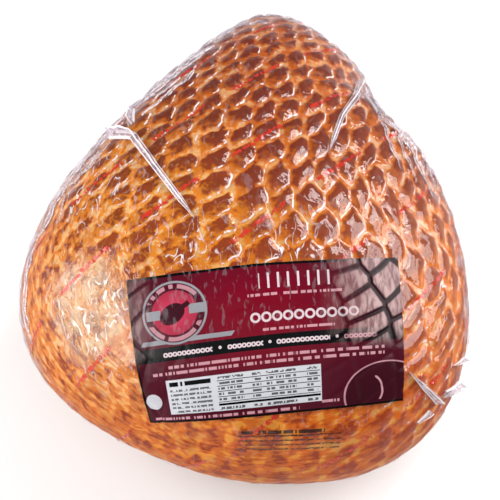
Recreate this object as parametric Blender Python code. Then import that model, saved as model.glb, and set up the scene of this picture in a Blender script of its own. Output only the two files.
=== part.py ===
"""A bone-in ham in a tight clear bag, with the marks of its net, and the label on the bag.

The ham lies on a small flat foot with its shown side up. Its length runs along Y, the shank
end towards +Y. Everything is in metres, +Z up, and the origin is under the middle of the ham.
"""
import bpy
import numpy as np
from mathutils import Vector
from mathutils.geometry import delaunay_2d_cdt

# Main dimensions of the ham.
BUTT_Y = -0.176
SHANK_Y = 0.173
HALF_WIDTH = (0.123, 0.028, -0.0035)
SIDEWAYS_LEAN = (0.0, 0.009, 0.006)
WAIST_DEPTH, WAIST_Y, WAIST_LENGTH = 0.012, 0.070, 0.025
BUTT_CUT_DEPTH, BUTT_CUT_STATION, BUTT_CUT_SPREAD = 0.007, 0.55, 0.30
MID_HEIGHT, MID_HEIGHT_SLOPE = 0.072, 0.009
TOP_RISE = (0.095, 0.005)
BELLY_DROP = 0.090
SECTION_EXPONENT = 2.2
BUTT_Y_TO_ORIGIN = -0.0018
SIDE_TO_ORIGIN = -0.0121

# The point inside the ham from which its skin is charted, and the chart's middle direction.
CORE = np.array([-0.004, -0.020, 0.062])
CHART_LEAN = np.radians(68.0)
FARTHEST_SKIN = 0.40
CHART_BEARINGS = 181
CHART_STEPS = 241
CHART_REACH = np.radians(150.0)

# The net's marks: two steps from cell to cell, and how the cells bend and tighten on the skin.
NET_STEP_ACROSS = np.array([0.0181, 0.0045])
NET_STEP_ALONG = np.array([0.0027, -0.0162])
NET_CELLS_EACH_WAY = 26
NET_TIGHTENING = 0.15
NET_TIGHTENING_V, NET_TIGHTENING_LENGTH = 0.045, 0.080
NET_BEND = 1.1
NET_BEND_LIMIT = 0.14
NET_UNEVENNESS = 0.0012
LEAST_CELL_STEP = 0.0105
CELL_DIRECTION = np.radians(64.0)
CELL_SQUEEZE = 0.54
GROOVE_DEPTH = 0.0022
FAINT_SHARE = 0.4
FAINT_SLANT = 0.8
FAINT_FROM, CLEAR_FROM = -0.120, 0.020
RELIEF_FADE_HEIGHT = 0.016

# Turns of the net round a chart point: the point, the angle there, and how far it spreads.
NET_TWISTS = (
    ((0.112, 0.000), np.radians(38.0), 0.046),
    ((-0.090, -0.095), np.radians(42.0), 0.046),
)

# The foot's rim and the room that the net's points leave round other edges.
RIM_POINTS = 168
ROOM_AT_RIM = 0.006
ROOM_AT_FOLD = 0.0036
CORNER_ROOM = 0.0030

# Folds of the bag: chart points, each with the crest's height and the half width at the feet.
FOLDS = (
    (
        (-0.0362, 0.0033, 0.0010, 0.0015),
        (-0.0615, 0.0392, 0.0028, 0.0021),
        (-0.0818, 0.0696, 0.0060, 0.0030),
        (-0.1010, 0.0785, 0.0095, 0.0042),
    ),
    ((-0.0870, 0.0850, 0.0060, 0.0028), (-0.0915, 0.1030, 0.0050, 0.0028)),
    (
        (0.0441, 0.0510, 0.0010, 0.0015),
        (0.0555, 0.0837, 0.0022, 0.0018),
        (0.0694, 0.1089, 0.0042, 0.0026),
        (0.0811, 0.1409, 0.0065, 0.0036),
    ),
    ((0.0830, 0.1215, 0.0040, 0.0026), (0.0870, 0.0990, 0.0030, 0.0024)),
    (
        (0.0918, 0.0850, 0.0015, 0.0050),
        (0.1050, 0.0790, 0.0035, 0.0080),
        (0.1170, 0.0660, 0.0040, 0.0080),
        (0.1215, 0.0500, 0.0015, 0.0050),
    ),
    (
        (0.0865, -0.0850, 0.0010, 0.0015),
        (0.1000, -0.0960, 0.0030, 0.0020),
        (0.1122, -0.1049, 0.0050, 0.0028),
    ),
    ((0.1065, -0.1115, 0.0035, 0.0020), (0.0981, -0.1182, 0.0010, 0.0015)),
    ((0.1190, -0.1015, 0.0045, 0.0026), (0.1420, -0.1000, 0.0060, 0.0030)),
    ((0.1240, -0.0826, 0.0010, 0.0015), (0.1420, -0.0812, 0.0040, 0.0022)),
)
FOLD_POINT_SPACING = 0.0065

# The label: its corners in chart coordinates, its gap above the bag and its thickness.
LABEL_TOP_LEFT = np.array([-0.0737, -0.0335])
LABEL_TOP_RIGHT = np.array([0.0801, -0.0182])
LABEL_BOTTOM_RIGHT = np.array([0.0829, -0.1017])
LABEL_BOTTOM_LEFT = np.array([-0.0658, -0.1190])
LABEL_GAP = 0.00045
LABEL_THICKNESS = 0.00055
LABEL_ROWS = 13
LABEL_COLUMNS = 24

# Colour and roughness of the two materials.
HAM_COLOUR, HAM_ROUGHNESS = (0.47, 0.17, 0.045), 0.28
LABEL_COLOUR, LABEL_ROUGHNESS = (0.20, 0.022, 0.045), 0.35


def sine_sum(sizes, angle):
    """Sum of sizes[k] * sin((k + 1) * angle)."""
    return sum(size * np.sin((k + 1) * angle) for k, size in enumerate(sizes))


def cosine_sum(sizes, angle):
    """Sum of sizes[k] * cos((k + 1) * angle)."""
    return sum(size * np.cos((k + 1) * angle) for k, size in enumerate(sizes))


def outside_body(points):
    """Below 0 inside the smooth body, above 0 outside it: a leaning, flattened oval section."""
    x, y, z = points[..., 0], points[..., 1], points[..., 2]
    along = np.clip((y - BUTT_Y) / (SHANK_Y - BUTT_Y), 0.0, 1.0)
    station = np.arccos(1.0 - 2.0 * along)
    aside = x - cosine_sum(SIDEWAYS_LEAN, station)
    above = z - (MID_HEIGHT + MID_HEIGHT_SLOPE * np.cos(station))
    waist = WAIST_DEPTH * np.exp(-(((y - WAIST_Y) / WAIST_LENGTH) ** 2))
    cut = BUTT_CUT_DEPTH * np.exp(-(((station - BUTT_CUT_STATION) / BUTT_CUT_SPREAD) ** 2))
    reach = sine_sum(HALF_WIDTH, station) - np.where(aside > 0.0, waist, cut)
    rise = np.where(above > 0.0, sine_sum(TOP_RISE, station), BELLY_DROP * np.sin(station))
    tiny = 1e-5
    section = np.abs(aside / np.maximum(reach, tiny)) ** SECTION_EXPONENT
    section = section + np.abs(above / np.maximum(rise, tiny)) ** SECTION_EXPONENT - 1.0
    section = np.where((y <= BUTT_Y) | (y >= SHANK_Y), 1.0, section)
    return np.maximum(section, -z)


def skin_distance(directions):
    """Distance from the core to the skin along each direction, found by halving."""
    near = np.zeros(directions.shape[:-1])
    far = np.full(directions.shape[:-1], FARTHEST_SKIN)
    for _ in range(36):
        middle = (near + far) / 2.0
        inside = outside_body(CORE + directions * middle[..., None]) < 0.0
        near = np.where(inside, middle, near)
        far = np.where(inside, far, middle)
    return (near + far) / 2.0


def chart_directions(lean, bearing):
    """Unit vectors that lean away from the chart's middle direction towards a bearing."""
    middle = np.array([0.0, -np.cos(CHART_LEAN), np.sin(CHART_LEAN)])
    right = np.array([1.0, 0.0, 0.0])
    upwards = np.array([0.0, np.sin(CHART_LEAN), np.cos(CHART_LEAN)])
    side = np.cos(bearing)[..., None] * right + np.sin(bearing)[..., None] * upwards
    return np.cos(lean)[..., None] * middle + np.sin(lean)[..., None] * side


class SkinChart:
    """Flat chart of the skin: distance from the chart's middle is measured along the skin."""

    def __init__(self):
        self.bearings = np.linspace(0.0, 2.0 * np.pi, CHART_BEARINGS)
        self.leans = np.linspace(0.0, CHART_REACH, CHART_STEPS)
        bearing, lean = np.meshgrid(self.bearings, self.leans, indexing="ij")
        directions = chart_directions(lean, bearing)
        points = CORE + directions * skin_distance(directions)[..., None]
        steps = np.linalg.norm(np.diff(points, axis=1), axis=-1)
        self.walked = np.concatenate([np.zeros((CHART_BEARINGS, 1)), np.cumsum(steps, axis=1)], axis=1)
        on_floor = points[..., 2] < 1e-6
        last_above = np.maximum(np.argmax(on_floor, axis=1) - 1, 0)
        rows = np.arange(CHART_BEARINGS)
        self.rim_walk = self.walked[rows, last_above]
        self.rim_lean = self.leans[last_above]

    def lean_at(self, u, v):
        """Lean of the direction that meets the skin at chart point (u, v), and its bearing."""
        walk = np.hypot(u, v)
        bearing = np.arctan2(v, u) % (2.0 * np.pi)
        place = bearing / (2.0 * np.pi) * (CHART_BEARINGS - 1)
        lower = np.minimum(place.astype(int), CHART_BEARINGS - 2)
        part = place - lower
        lean = np.zeros_like(walk)
        for row in np.unique(lower):
            here = lower == row
            first = np.interp(walk[here], self.walked[row], self.leans)
            second = np.interp(walk[here], self.walked[row + 1], self.leans)
            lean[here] = first * (1.0 - part[here]) + second * part[here]
        return lean, bearing

    def points_at(self, u, v):
        """Points of the smooth skin at chart coordinates (u, v)."""
        lean, bearing = self.lean_at(u, v)
        directions = chart_directions(lean, bearing)
        return CORE + directions * skin_distance(directions)[..., None]

    def normals_at(self, points):
        """Outward directions of the smooth skin at its points, from the field's slope."""
        nudge = 1e-5
        slopes = [
            outside_body(points + nudge * axis) - outside_body(points - nudge * axis)
            for axis in np.eye(3)
        ]
        slopes = np.stack(slopes, axis=-1)
        return slopes / np.maximum(np.linalg.norm(slopes, axis=-1, keepdims=True), 1e-12)

    def rim_chart_points(self):
        """Chart coordinates and positions of the rim of the flat foot, evenly spaced round it."""
        fine = np.linspace(0.0, 2.0 * np.pi, 8 * RIM_POINTS + 1)
        low = np.interp(fine, self.bearings, self.rim_lean)
        high = low + 2.0 * (self.leans[1] - self.leans[0])
        for _ in range(30):
            middle = (low + high) / 2.0
            directions = chart_directions(middle, fine)
            reached = CORE + directions * skin_distance(directions)[..., None]
            floor = reached[..., 2] < 1e-6
            low = np.where(floor, low, middle)
            high = np.where(floor, middle, high)
        directions = chart_directions(low, fine)
        points = CORE + directions * skin_distance(directions)[..., None]
        lengths = np.linalg.norm(np.diff(points, axis=0), axis=1)
        round_rim = np.concatenate([[0.0], np.cumsum(lengths)])
        wanted = np.linspace(0.0, round_rim[-1], RIM_POINTS + 1)[:-1]
        bearing = np.interp(wanted, round_rim, fine)
        position = np.stack([np.interp(wanted, round_rim, points[:, k]) for k in range(3)], axis=1)
        position[:, 2] = 0.0
        walk = np.interp(bearing, self.bearings, self.rim_walk)
        return np.stack([walk * np.cos(bearing), walk * np.sin(bearing)], axis=1), position


def twisted(points, way):
    """Chart points turned round each twist of the net: way is 1 to turn them, -1 to undo it."""
    for middle, angle, spread in NET_TWISTS[::way]:
        offset = points - np.array(middle)
        turn = way * angle * np.exp(-(offset ** 2).sum(axis=1) / (2.0 * spread ** 2))
        x = offset[:, 0] * np.cos(turn) - offset[:, 1] * np.sin(turn)
        y = offset[:, 0] * np.sin(turn) + offset[:, 1] * np.cos(turn)
        points = np.stack([x, y], axis=1) + np.array(middle)
    return points


def mark_strength(points):
    """How deep the net's marks are at chart points: faint low on the left, clear elsewhere."""
    slant = FAINT_SLANT * points[:, 0] + points[:, 1]
    part = np.clip((slant - FAINT_FROM) / (CLEAR_FROM - FAINT_FROM), 0.0, 1.0)
    return FAINT_SHARE + (1.0 - FAINT_SHARE) * part * part * (3.0 - 2.0 * part)


def net_cell_centres(chart):
    """Chart points of the net's cells: a slanted lattice, bent, tightened and slightly uneven."""
    count = NET_CELLS_EACH_WAY
    across, along = np.meshgrid(np.arange(-count, count + 1), np.arange(-count, count + 1), indexing="ij")
    flat = across.reshape(-1, 1) * NET_STEP_ACROSS + along.reshape(-1, 1) * NET_STEP_ALONG
    uneven = np.random.default_rng(11).uniform(-1.0, 1.0, flat.shape)
    flat = flat + NET_UNEVENNESS * uneven
    tighter = 1.0 - NET_TIGHTENING * np.tanh((flat[:, 1] - NET_TIGHTENING_V) / NET_TIGHTENING_LENGTH)
    u = flat[:, 0] * tighter
    bend = NET_BEND * flat[:, 0] ** 2 / (1.0 + (flat[:, 0] / NET_BEND_LIMIT) ** 2)
    v = flat[:, 1] + bend
    u, v = twisted(np.stack([u, v], axis=1), 1).T
    bearing = np.arctan2(v, u) % (2.0 * np.pi)
    limit = np.interp(bearing, chart.bearings, chart.rim_walk)
    inside = np.hypot(u, v) < limit - ROOM_AT_RIM
    centres = np.stack([u[inside], v[inside]], axis=1)
    centres = centres[np.argsort(np.hypot(centres[:, 0], centres[:, 1]))]
    skin = chart.points_at(centres[:, 0], centres[:, 1])
    kept = [0]
    for k in range(1, len(centres)):
        if np.linalg.norm(skin[kept] - skin[k], axis=1).min() > LEAST_CELL_STEP:
            kept.append(k)
    return centres[kept]


def round_view(chart, points):
    """Chart points as a true-angled picture of the directions, with long cells made regular."""
    points = twisted(points, -1)
    lean, bearing = chart.lean_at(points[:, 0], points[:, 1])
    spread = 2.0 * np.tan(lean / 2.0)
    flat = np.stack([spread * np.cos(bearing), spread * np.sin(bearing)], axis=1)
    along = np.array([np.cos(CELL_DIRECTION), np.sin(CELL_DIRECTION)])
    across = np.array([-along[1], along[0]])
    return np.stack([flat @ along * CELL_SQUEEZE, flat @ across], axis=1)


def triangles_inside(chart, points, rim_count, lines):
    """Triangles over the points, inside the rim that the first rim_count of them make.

    Each pair in lines is kept as an edge of the triangles.
    """
    flat = [Vector(point) for point in round_view(chart, points)]
    rim = list(range(rim_count))
    found = delaunay_2d_cdt(flat, lines, [rim], 1, 1e-7)
    came_from = [ids[0] if ids else -1 for ids in found[3]]
    return np.array([[came_from[k] for k in face] for face in found[2]], dtype=int)


def fold_crest(course):
    """Evenly spaced points along a fold: chart coordinates, crest height and half width."""
    course = np.array(course)
    steps = np.linalg.norm(np.diff(course[:, :2], axis=0), axis=1)
    walked = np.concatenate([[0.0], np.cumsum(steps)])
    count = max(int(round(walked[-1] / FOLD_POINT_SPACING)), 2)
    wanted = np.linspace(0.0, walked[-1], count + 1)
    return np.stack([np.interp(wanted, walked, course[:, k]) for k in range(4)], axis=1)


def fold_points():
    """Chart points, heights and edges of the crest and the two feet of each fold in the bag."""
    places, heights, lines = [], [], []
    for course in FOLDS:
        crest = fold_crest(course)
        forward = np.gradient(crest[:, :2], axis=0)
        forward = forward / np.linalg.norm(forward, axis=1, keepdims=True)
        side = crest[:, 3:] * np.stack([-forward[:, 1], forward[:, 0]], axis=1)
        feet = np.full(len(crest), -GROOVE_DEPTH / 2.0)
        middle = crest[:, :2]
        for place, rise in ((middle, crest[:, 2]), (middle + side, feet), (middle - side, feet)):
            placed = sum(len(block) for block in places)
            lines.extend((placed + k, placed + k + 1) for k in range(len(place) - 1))
            places.append(place)
            heights.append(rise)
    return np.concatenate(places), np.concatenate(heights), lines


def fold_rise(points):
    """How high the folds lift the bag at chart points that lie between a crest and its feet."""
    rise = np.zeros(len(points))
    for course in FOLDS:
        for first, second in zip(course, course[1:]):
            start, line = np.array(first[:2]), np.array(second[:2]) - np.array(first[:2])
            part = np.clip((points - start) @ line / (line @ line), 0.0, 1.0)
            gap = np.linalg.norm(points - (start + part[:, None] * line), axis=1)
            height = first[2] + (second[2] - first[2]) * part
            half_width = first[3] + (second[3] - first[3]) * part
            rise = np.maximum(rise, height * np.clip(1.0 - gap / half_width, 0.0, 1.0))
    return rise


def keep_clear(points, others, room):
    """Mask of the points that lie at least `room` from every one of the others."""
    gaps = np.linalg.norm(points[:, None, :] - others[None, :, :], axis=2)
    return gaps.min(axis=1) > room


def make_object(name, vertices, faces, colour, roughness):
    """Mesh object with one plain material."""
    mesh = bpy.data.meshes.new(name)
    mesh.from_pydata([tuple(vertex) for vertex in vertices], [], [tuple(face) for face in faces])
    mesh.validate()
    material = bpy.data.materials.new(name)
    material.use_nodes = True
    surface = material.node_tree.nodes["Principled BSDF"]
    surface.inputs["Base Color"].default_value = (*colour, 1.0)
    surface.inputs["Roughness"].default_value = roughness
    surface.inputs["Metallic"].default_value = 0.0
    mesh.materials.append(material)
    made = bpy.data.objects.new(name, mesh)
    bpy.context.collection.objects.link(made)
    return made


def to_origin(points):
    """Points moved so that the origin lies under the middle of the ham."""
    return points - np.array([SIDE_TO_ORIGIN, BUTT_Y_TO_ORIGIN, 0.0])


def build_ham(chart):
    """The ham in its bag: one closed body with net cells, folds of the bag and a flat foot."""
    rim_flat, rim_position = chart.rim_chart_points()
    centres = net_cell_centres(chart)
    outer = np.concatenate([rim_flat, centres])
    corners = outer[triangles_inside(chart, outer, RIM_POINTS, [])].mean(axis=1)
    folds, fold_heights, fold_lines = fold_points()
    centres = centres[keep_clear(centres, folds, ROOM_AT_FOLD)]
    corners = corners[keep_clear(corners, folds, ROOM_AT_FOLD)]
    corners = corners[keep_clear(corners, rim_flat, ROOM_AT_RIM)]
    corners = corners[keep_clear(corners, centres, CORNER_ROOM)]
    inner = np.concatenate([centres, corners, folds])
    groove_heights = fold_rise(corners) - GROOVE_DEPTH * mark_strength(corners)
    heights = np.concatenate([fold_rise(centres), groove_heights, fold_heights])
    skin = chart.points_at(inner[:, 0], inner[:, 1])
    fade = np.clip(skin[:, 2] / RELIEF_FADE_HEIGHT, 0.0, 1.0)
    skin = skin + chart.normals_at(skin) * (heights * fade * fade * (3.0 - 2.0 * fade))[:, None]
    first_fold = RIM_POINTS + len(centres) + len(corners)
    lines = [(first_fold + start, first_fold + end) for start, end in fold_lines]
    triangles = triangles_inside(chart, np.concatenate([rim_flat, inner]), RIM_POINTS, lines)
    vertices = np.concatenate([rim_position, skin])
    faces = [tuple(face) for face in triangles]
    faces.append(tuple(range(RIM_POINTS - 1, -1, -1)))
    return make_object("bagged_ham", to_origin(vertices), faces, HAM_COLOUR, HAM_ROUGHNESS)


def build_label(chart):
    """The label: a thin plate that follows the ham's roundness just above the bag."""
    down = np.linspace(0.0, 1.0, LABEL_ROWS)[:, None, None]
    across = np.linspace(0.0, 1.0, LABEL_COLUMNS)[None, :, None]
    top = LABEL_TOP_LEFT * (1.0 - across) + LABEL_TOP_RIGHT * across
    bottom = LABEL_BOTTOM_LEFT * (1.0 - across) + LABEL_BOTTOM_RIGHT * across
    flat = (top * (1.0 - down) + bottom * down).reshape(-1, 2)
    skin = chart.points_at(flat[:, 0], flat[:, 1])
    outward = chart.normals_at(skin)
    under = skin + outward * LABEL_GAP
    over = skin + outward * (LABEL_GAP + LABEL_THICKNESS)
    count = LABEL_ROWS * LABEL_COLUMNS
    index = np.arange(count).reshape(LABEL_ROWS, LABEL_COLUMNS)
    a, b = index[:-1, :-1].ravel(), index[:-1, 1:].ravel()
    c, d = index[1:, 1:].ravel(), index[1:, :-1].ravel()
    faces = [(p + count, s + count, r + count, q + count) for p, q, r, s in zip(a, b, c, d)]
    faces += [(p, q, r, s) for p, q, r, s in zip(a, b, c, d)]
    edge = np.concatenate([index[0, :-1], index[:-1, -1], index[-1, :0:-1], index[:0:-1, 0]])
    following = np.roll(edge, -1)
    faces += [(q, p, p + count, q + count) for p, q in zip(edge, following)]
    vertices = np.concatenate([under, over])
    return make_object("label", to_origin(vertices), faces, LABEL_COLOUR, LABEL_ROUGHNESS)


def main():
    for old in list(bpy.data.objects):
        bpy.data.objects.remove(old, do_unlink=True)
    chart = SkinChart()
    build_ham(chart)
    build_label(chart)


main()
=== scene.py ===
"""Studio model of a smoked bone-in ham in a tight clear bag with a printed label.

The meat, the bag and the label are fine meshes over one smooth form. That form is worked out
from the same named sizes as the plain solids, so every piece keeps its place in their frame.
"""

from __future__ import annotations

import logging
import math
from dataclasses import dataclass, field
from enum import Enum

import bpy
import numpy as np
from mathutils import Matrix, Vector

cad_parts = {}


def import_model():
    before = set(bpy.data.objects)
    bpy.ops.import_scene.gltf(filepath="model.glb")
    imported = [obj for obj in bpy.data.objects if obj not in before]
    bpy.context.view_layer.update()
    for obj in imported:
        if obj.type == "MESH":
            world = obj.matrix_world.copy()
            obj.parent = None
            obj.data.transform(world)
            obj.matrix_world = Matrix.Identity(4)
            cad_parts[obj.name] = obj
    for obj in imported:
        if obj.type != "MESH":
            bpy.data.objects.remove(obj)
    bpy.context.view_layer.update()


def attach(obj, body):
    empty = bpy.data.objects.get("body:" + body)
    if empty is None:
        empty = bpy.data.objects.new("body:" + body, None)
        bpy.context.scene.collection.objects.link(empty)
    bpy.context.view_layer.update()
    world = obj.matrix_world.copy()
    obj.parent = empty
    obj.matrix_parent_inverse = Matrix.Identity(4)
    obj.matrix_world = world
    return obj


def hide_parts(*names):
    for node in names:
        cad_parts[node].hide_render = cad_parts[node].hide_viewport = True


Array = np.ndarray
Rgb = tuple[float, float, float]
Limits = tuple[float, float]
Waves = tuple[tuple[float, float, float], ...]

LOG = logging.getLogger("ham")
MM = 0.001
SOFT_EDGE = 0.12


def from_screen(red: int, green: int, blue: int) -> Rgb:
    """Turn a screen colour of 0 to 255 into linear light.

    Args:
        red: Red, 0 to 255.
        green: Green, 0 to 255.
        blue: Blue, 0 to 255.

    Returns:
        The linear colour, each part 0 to 1.
    """
    parts = [value / 255.0 for value in (red, green, blue)]
    linear = [p / 12.92 if p <= 0.04045 else ((p + 0.055) / 1.055) ** 2.4 for p in parts]
    return linear[0], linear[1], linear[2]


def smooth_step(values: Array, low: float, high: float) -> Array:
    """Rise smoothly from 0 at low to 1 at high.

    Args:
        values: Numbers to map.
        low: Value where the rise starts; it may be above high, for a fall.
        high: Value where the rise ends.

    Returns:
        The mapped numbers, 0 to 1.
    """
    part = np.clip((values - low) / (high - low), 0.0, 1.0)
    return part * part * (3.0 - 2.0 * part)


def soft_noise(points: Array, length: float, seed: int) -> Array:
    """Gentle noise: the mean of sine waves of about one length in random directions.

    Args:
        points: Positions, one per row.
        length: Typical distance between swellings, in metres.
        seed: Number that picks the waves.

    Returns:
        Noise from about -1 to 1, one value a point.
    """
    chooser = np.random.default_rng(seed)
    total = np.zeros(points.shape[:-1])
    count = 14
    for _ in range(count):
        direction = chooser.normal(size=points.shape[-1])
        direction = direction / np.linalg.norm(direction)
        turns = 2.0 * math.pi / (length * chooser.uniform(0.7, 1.5))
        total = total + np.sin(points @ direction * turns + chooser.uniform(0.0, 2.0 * math.pi))
    return total / math.sqrt(count)


@dataclass(frozen=True)
class HamForm:
    """The smooth form of the ham: a leaning, flattened oval section along Y, cut flat below."""

    butt_y: float = -0.176
    shank_y: float = 0.173
    half_width: tuple[float, float, float] = (0.123, 0.028, -0.0035)
    sideways_lean: tuple[float, float, float] = (0.0, 0.009, 0.006)
    waist_depth: float = 0.012
    waist_y: float = 0.070
    waist_length: float = 0.025
    cut_depth: float = 0.007
    cut_station: float = 0.55
    cut_spread: float = 0.30
    mid_height: float = 0.072
    mid_height_slope: float = 0.009
    top_rise: tuple[float, float] = (0.095, 0.005)
    belly_drop: float = 0.090
    section_exponent: float = 2.2
    core: tuple[float, float, float] = (-0.004, -0.020, 0.062)
    to_origin: tuple[float, float, float] = (0.0121, 0.0018, 0.0)
    farthest: float = 0.40
    halvings: int = 36

    def outside(self, points: Array) -> Array:
        """Tell inside from outside of the smooth form.

        Each section across Y is a superellipse. Its half width is a sine series of the station
        angle, less a dent on the shank's right and a cut on the butt's left.

        Args:
            points: Positions before the move to the origin, one per row.

        Returns:
            Below 0 inside the form and above 0 outside it.
        """
        x, y, z = points[..., 0], points[..., 1], points[..., 2]
        along = np.clip((y - self.butt_y) / (self.shank_y - self.butt_y), 0.0, 1.0)
        station = np.arccos(1.0 - 2.0 * along)
        lean = sum(s * np.cos((k + 1) * station) for k, s in enumerate(self.sideways_lean))
        half = sum(s * np.sin((k + 1) * station) for k, s in enumerate(self.half_width))
        rise = sum(s * np.sin((k + 1) * station) for k, s in enumerate(self.top_rise))
        aside = x - lean
        above = z - (self.mid_height + self.mid_height_slope * np.cos(station))
        waist = self.waist_depth * np.exp(-(((y - self.waist_y) / self.waist_length) ** 2))
        cut = self.cut_depth * np.exp(-(((station - self.cut_station) / self.cut_spread) ** 2))
        reach = half - np.where(aside > 0.0, waist, cut)
        height = np.where(above > 0.0, rise, self.belly_drop * np.sin(station))
        tiny = 1e-5
        section = np.abs(aside / np.maximum(reach, tiny)) ** self.section_exponent
        section = section + np.abs(above / np.maximum(height, tiny)) ** self.section_exponent - 1.0
        section = np.where((y <= self.butt_y) | (y >= self.shank_y), 1.0, section)
        return np.maximum(section, -z)

    def skin_distance(self, directions: Array) -> Array:
        """Find how far the skin lies from the core along each direction, by halving.

        Args:
            directions: Unit vectors, one per row.

        Returns:
            Distances in metres.
        """
        core = np.array(self.core)
        near = np.zeros(directions.shape[:-1])
        far = np.full(directions.shape[:-1], self.farthest)
        for _ in range(self.halvings):
            middle = (near + far) / 2.0
            inside = self.outside(core + directions * middle[..., None]) < 0.0
            near = np.where(inside, middle, near)
            far = np.where(inside, far, middle)
        return (near + far) / 2.0

    def normals(self, points: Array) -> Array:
        """Outward directions of the skin at points before the move to the origin.

        Args:
            points: Points on the skin, one per row.

        Returns:
            Unit vectors, one per row.
        """
        nudges, tiny = 1e-5 * np.eye(3), 1e-12
        slopes = [self.outside(points + nudge) - self.outside(points - nudge) for nudge in nudges]
        stacked = np.stack(slopes, axis=-1)
        return stacked / np.maximum(np.linalg.norm(stacked, axis=-1, keepdims=True), tiny)


@dataclass
class SkinChart:
    """Flat chart of the skin: distance from the chart's middle is measured along the skin."""

    form: HamForm
    middle_lean: float = math.radians(68.0)
    bearing_count: int = 181
    lean_count: int = 241
    farthest_lean: float = math.radians(150.0)
    floor_height: float = 1e-6
    bearings: Array = field(init=False)
    leans: Array = field(init=False)
    walked: Array = field(init=False)
    rim_walk: Array = field(init=False)

    def __post_init__(self) -> None:
        """Measure along the skin on every bearing, out to the rim of the foot."""
        self.bearings = np.linspace(0.0, 2.0 * np.pi, self.bearing_count)
        self.leans = np.linspace(0.0, self.farthest_lean, self.lean_count)
        bearing, lean = np.meshgrid(self.bearings, self.leans, indexing="ij")
        directions = self.directions(lean, bearing)
        points = np.array(self.form.core) + directions * self.form.skin_distance(directions)[..., None]
        steps = np.linalg.norm(np.diff(points, axis=1), axis=-1)
        start = np.zeros((self.bearing_count, 1))
        self.walked = np.concatenate([start, np.cumsum(steps, axis=1)], axis=1)
        first_floor = np.argmax(points[..., 2] < self.floor_height, axis=1)
        self.rim_walk = self.walked[np.arange(self.bearing_count), first_floor]

    def directions(self, lean: Array, bearing: Array) -> Array:
        """Unit vectors that lean away from the chart's middle direction towards a bearing.

        Args:
            lean: Angles from the middle direction, in radians.
            bearing: Bearings on the chart, in radians.

        Returns:
            Unit vectors, one per row.
        """
        sine, cosine = math.sin(self.middle_lean), math.cos(self.middle_lean)
        x = np.sin(lean) * np.cos(bearing)
        y = np.sin(lean) * np.sin(bearing) * sine - np.cos(lean) * cosine
        z = np.sin(lean) * np.sin(bearing) * cosine + np.cos(lean) * sine
        return np.stack([x, y, z], axis=-1)

    def rim_at(self, bearing: Array) -> Array:
        """How far along the skin the rim of the foot lies from the chart's middle."""
        return np.interp(bearing, self.bearings, self.rim_walk)

    def lean_at(self, u: Array, v: Array) -> tuple[Array, Array]:
        """Read the chart backwards.

        Args:
            u: Chart coordinate to the right, in metres.
            v: Chart coordinate towards the shank, in metres.

        Returns:
            The lean and the bearing of the direction that meets the skin there.
        """
        walk = np.hypot(u, v)
        bearing = np.arctan2(v, u) % (2.0 * np.pi)
        place = bearing / (2.0 * np.pi) * (self.bearing_count - 1)
        lower = np.minimum(place.astype(int), self.bearing_count - 2)
        part = place - lower
        lean = np.zeros_like(walk)
        for row in np.unique(lower):
            here = lower == row
            first = np.interp(walk[here], self.walked[row], self.leans)
            second = np.interp(walk[here], self.walked[row + 1], self.leans)
            lean[here] = first * (1.0 - part[here]) + second * part[here]
        return lean, bearing

    def points_at(self, u: Array, v: Array) -> Array:
        """Points of the smooth skin at chart coordinates, before the move to the origin.

        Args:
            u: Chart coordinate to the right, in metres.
            v: Chart coordinate towards the shank, in metres.

        Returns:
            The points, one per row.
        """
        lean, bearing = self.lean_at(u, v)
        directions = self.directions(lean, bearing)
        return np.array(self.form.core) + directions * self.form.skin_distance(directions)[..., None]


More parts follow.
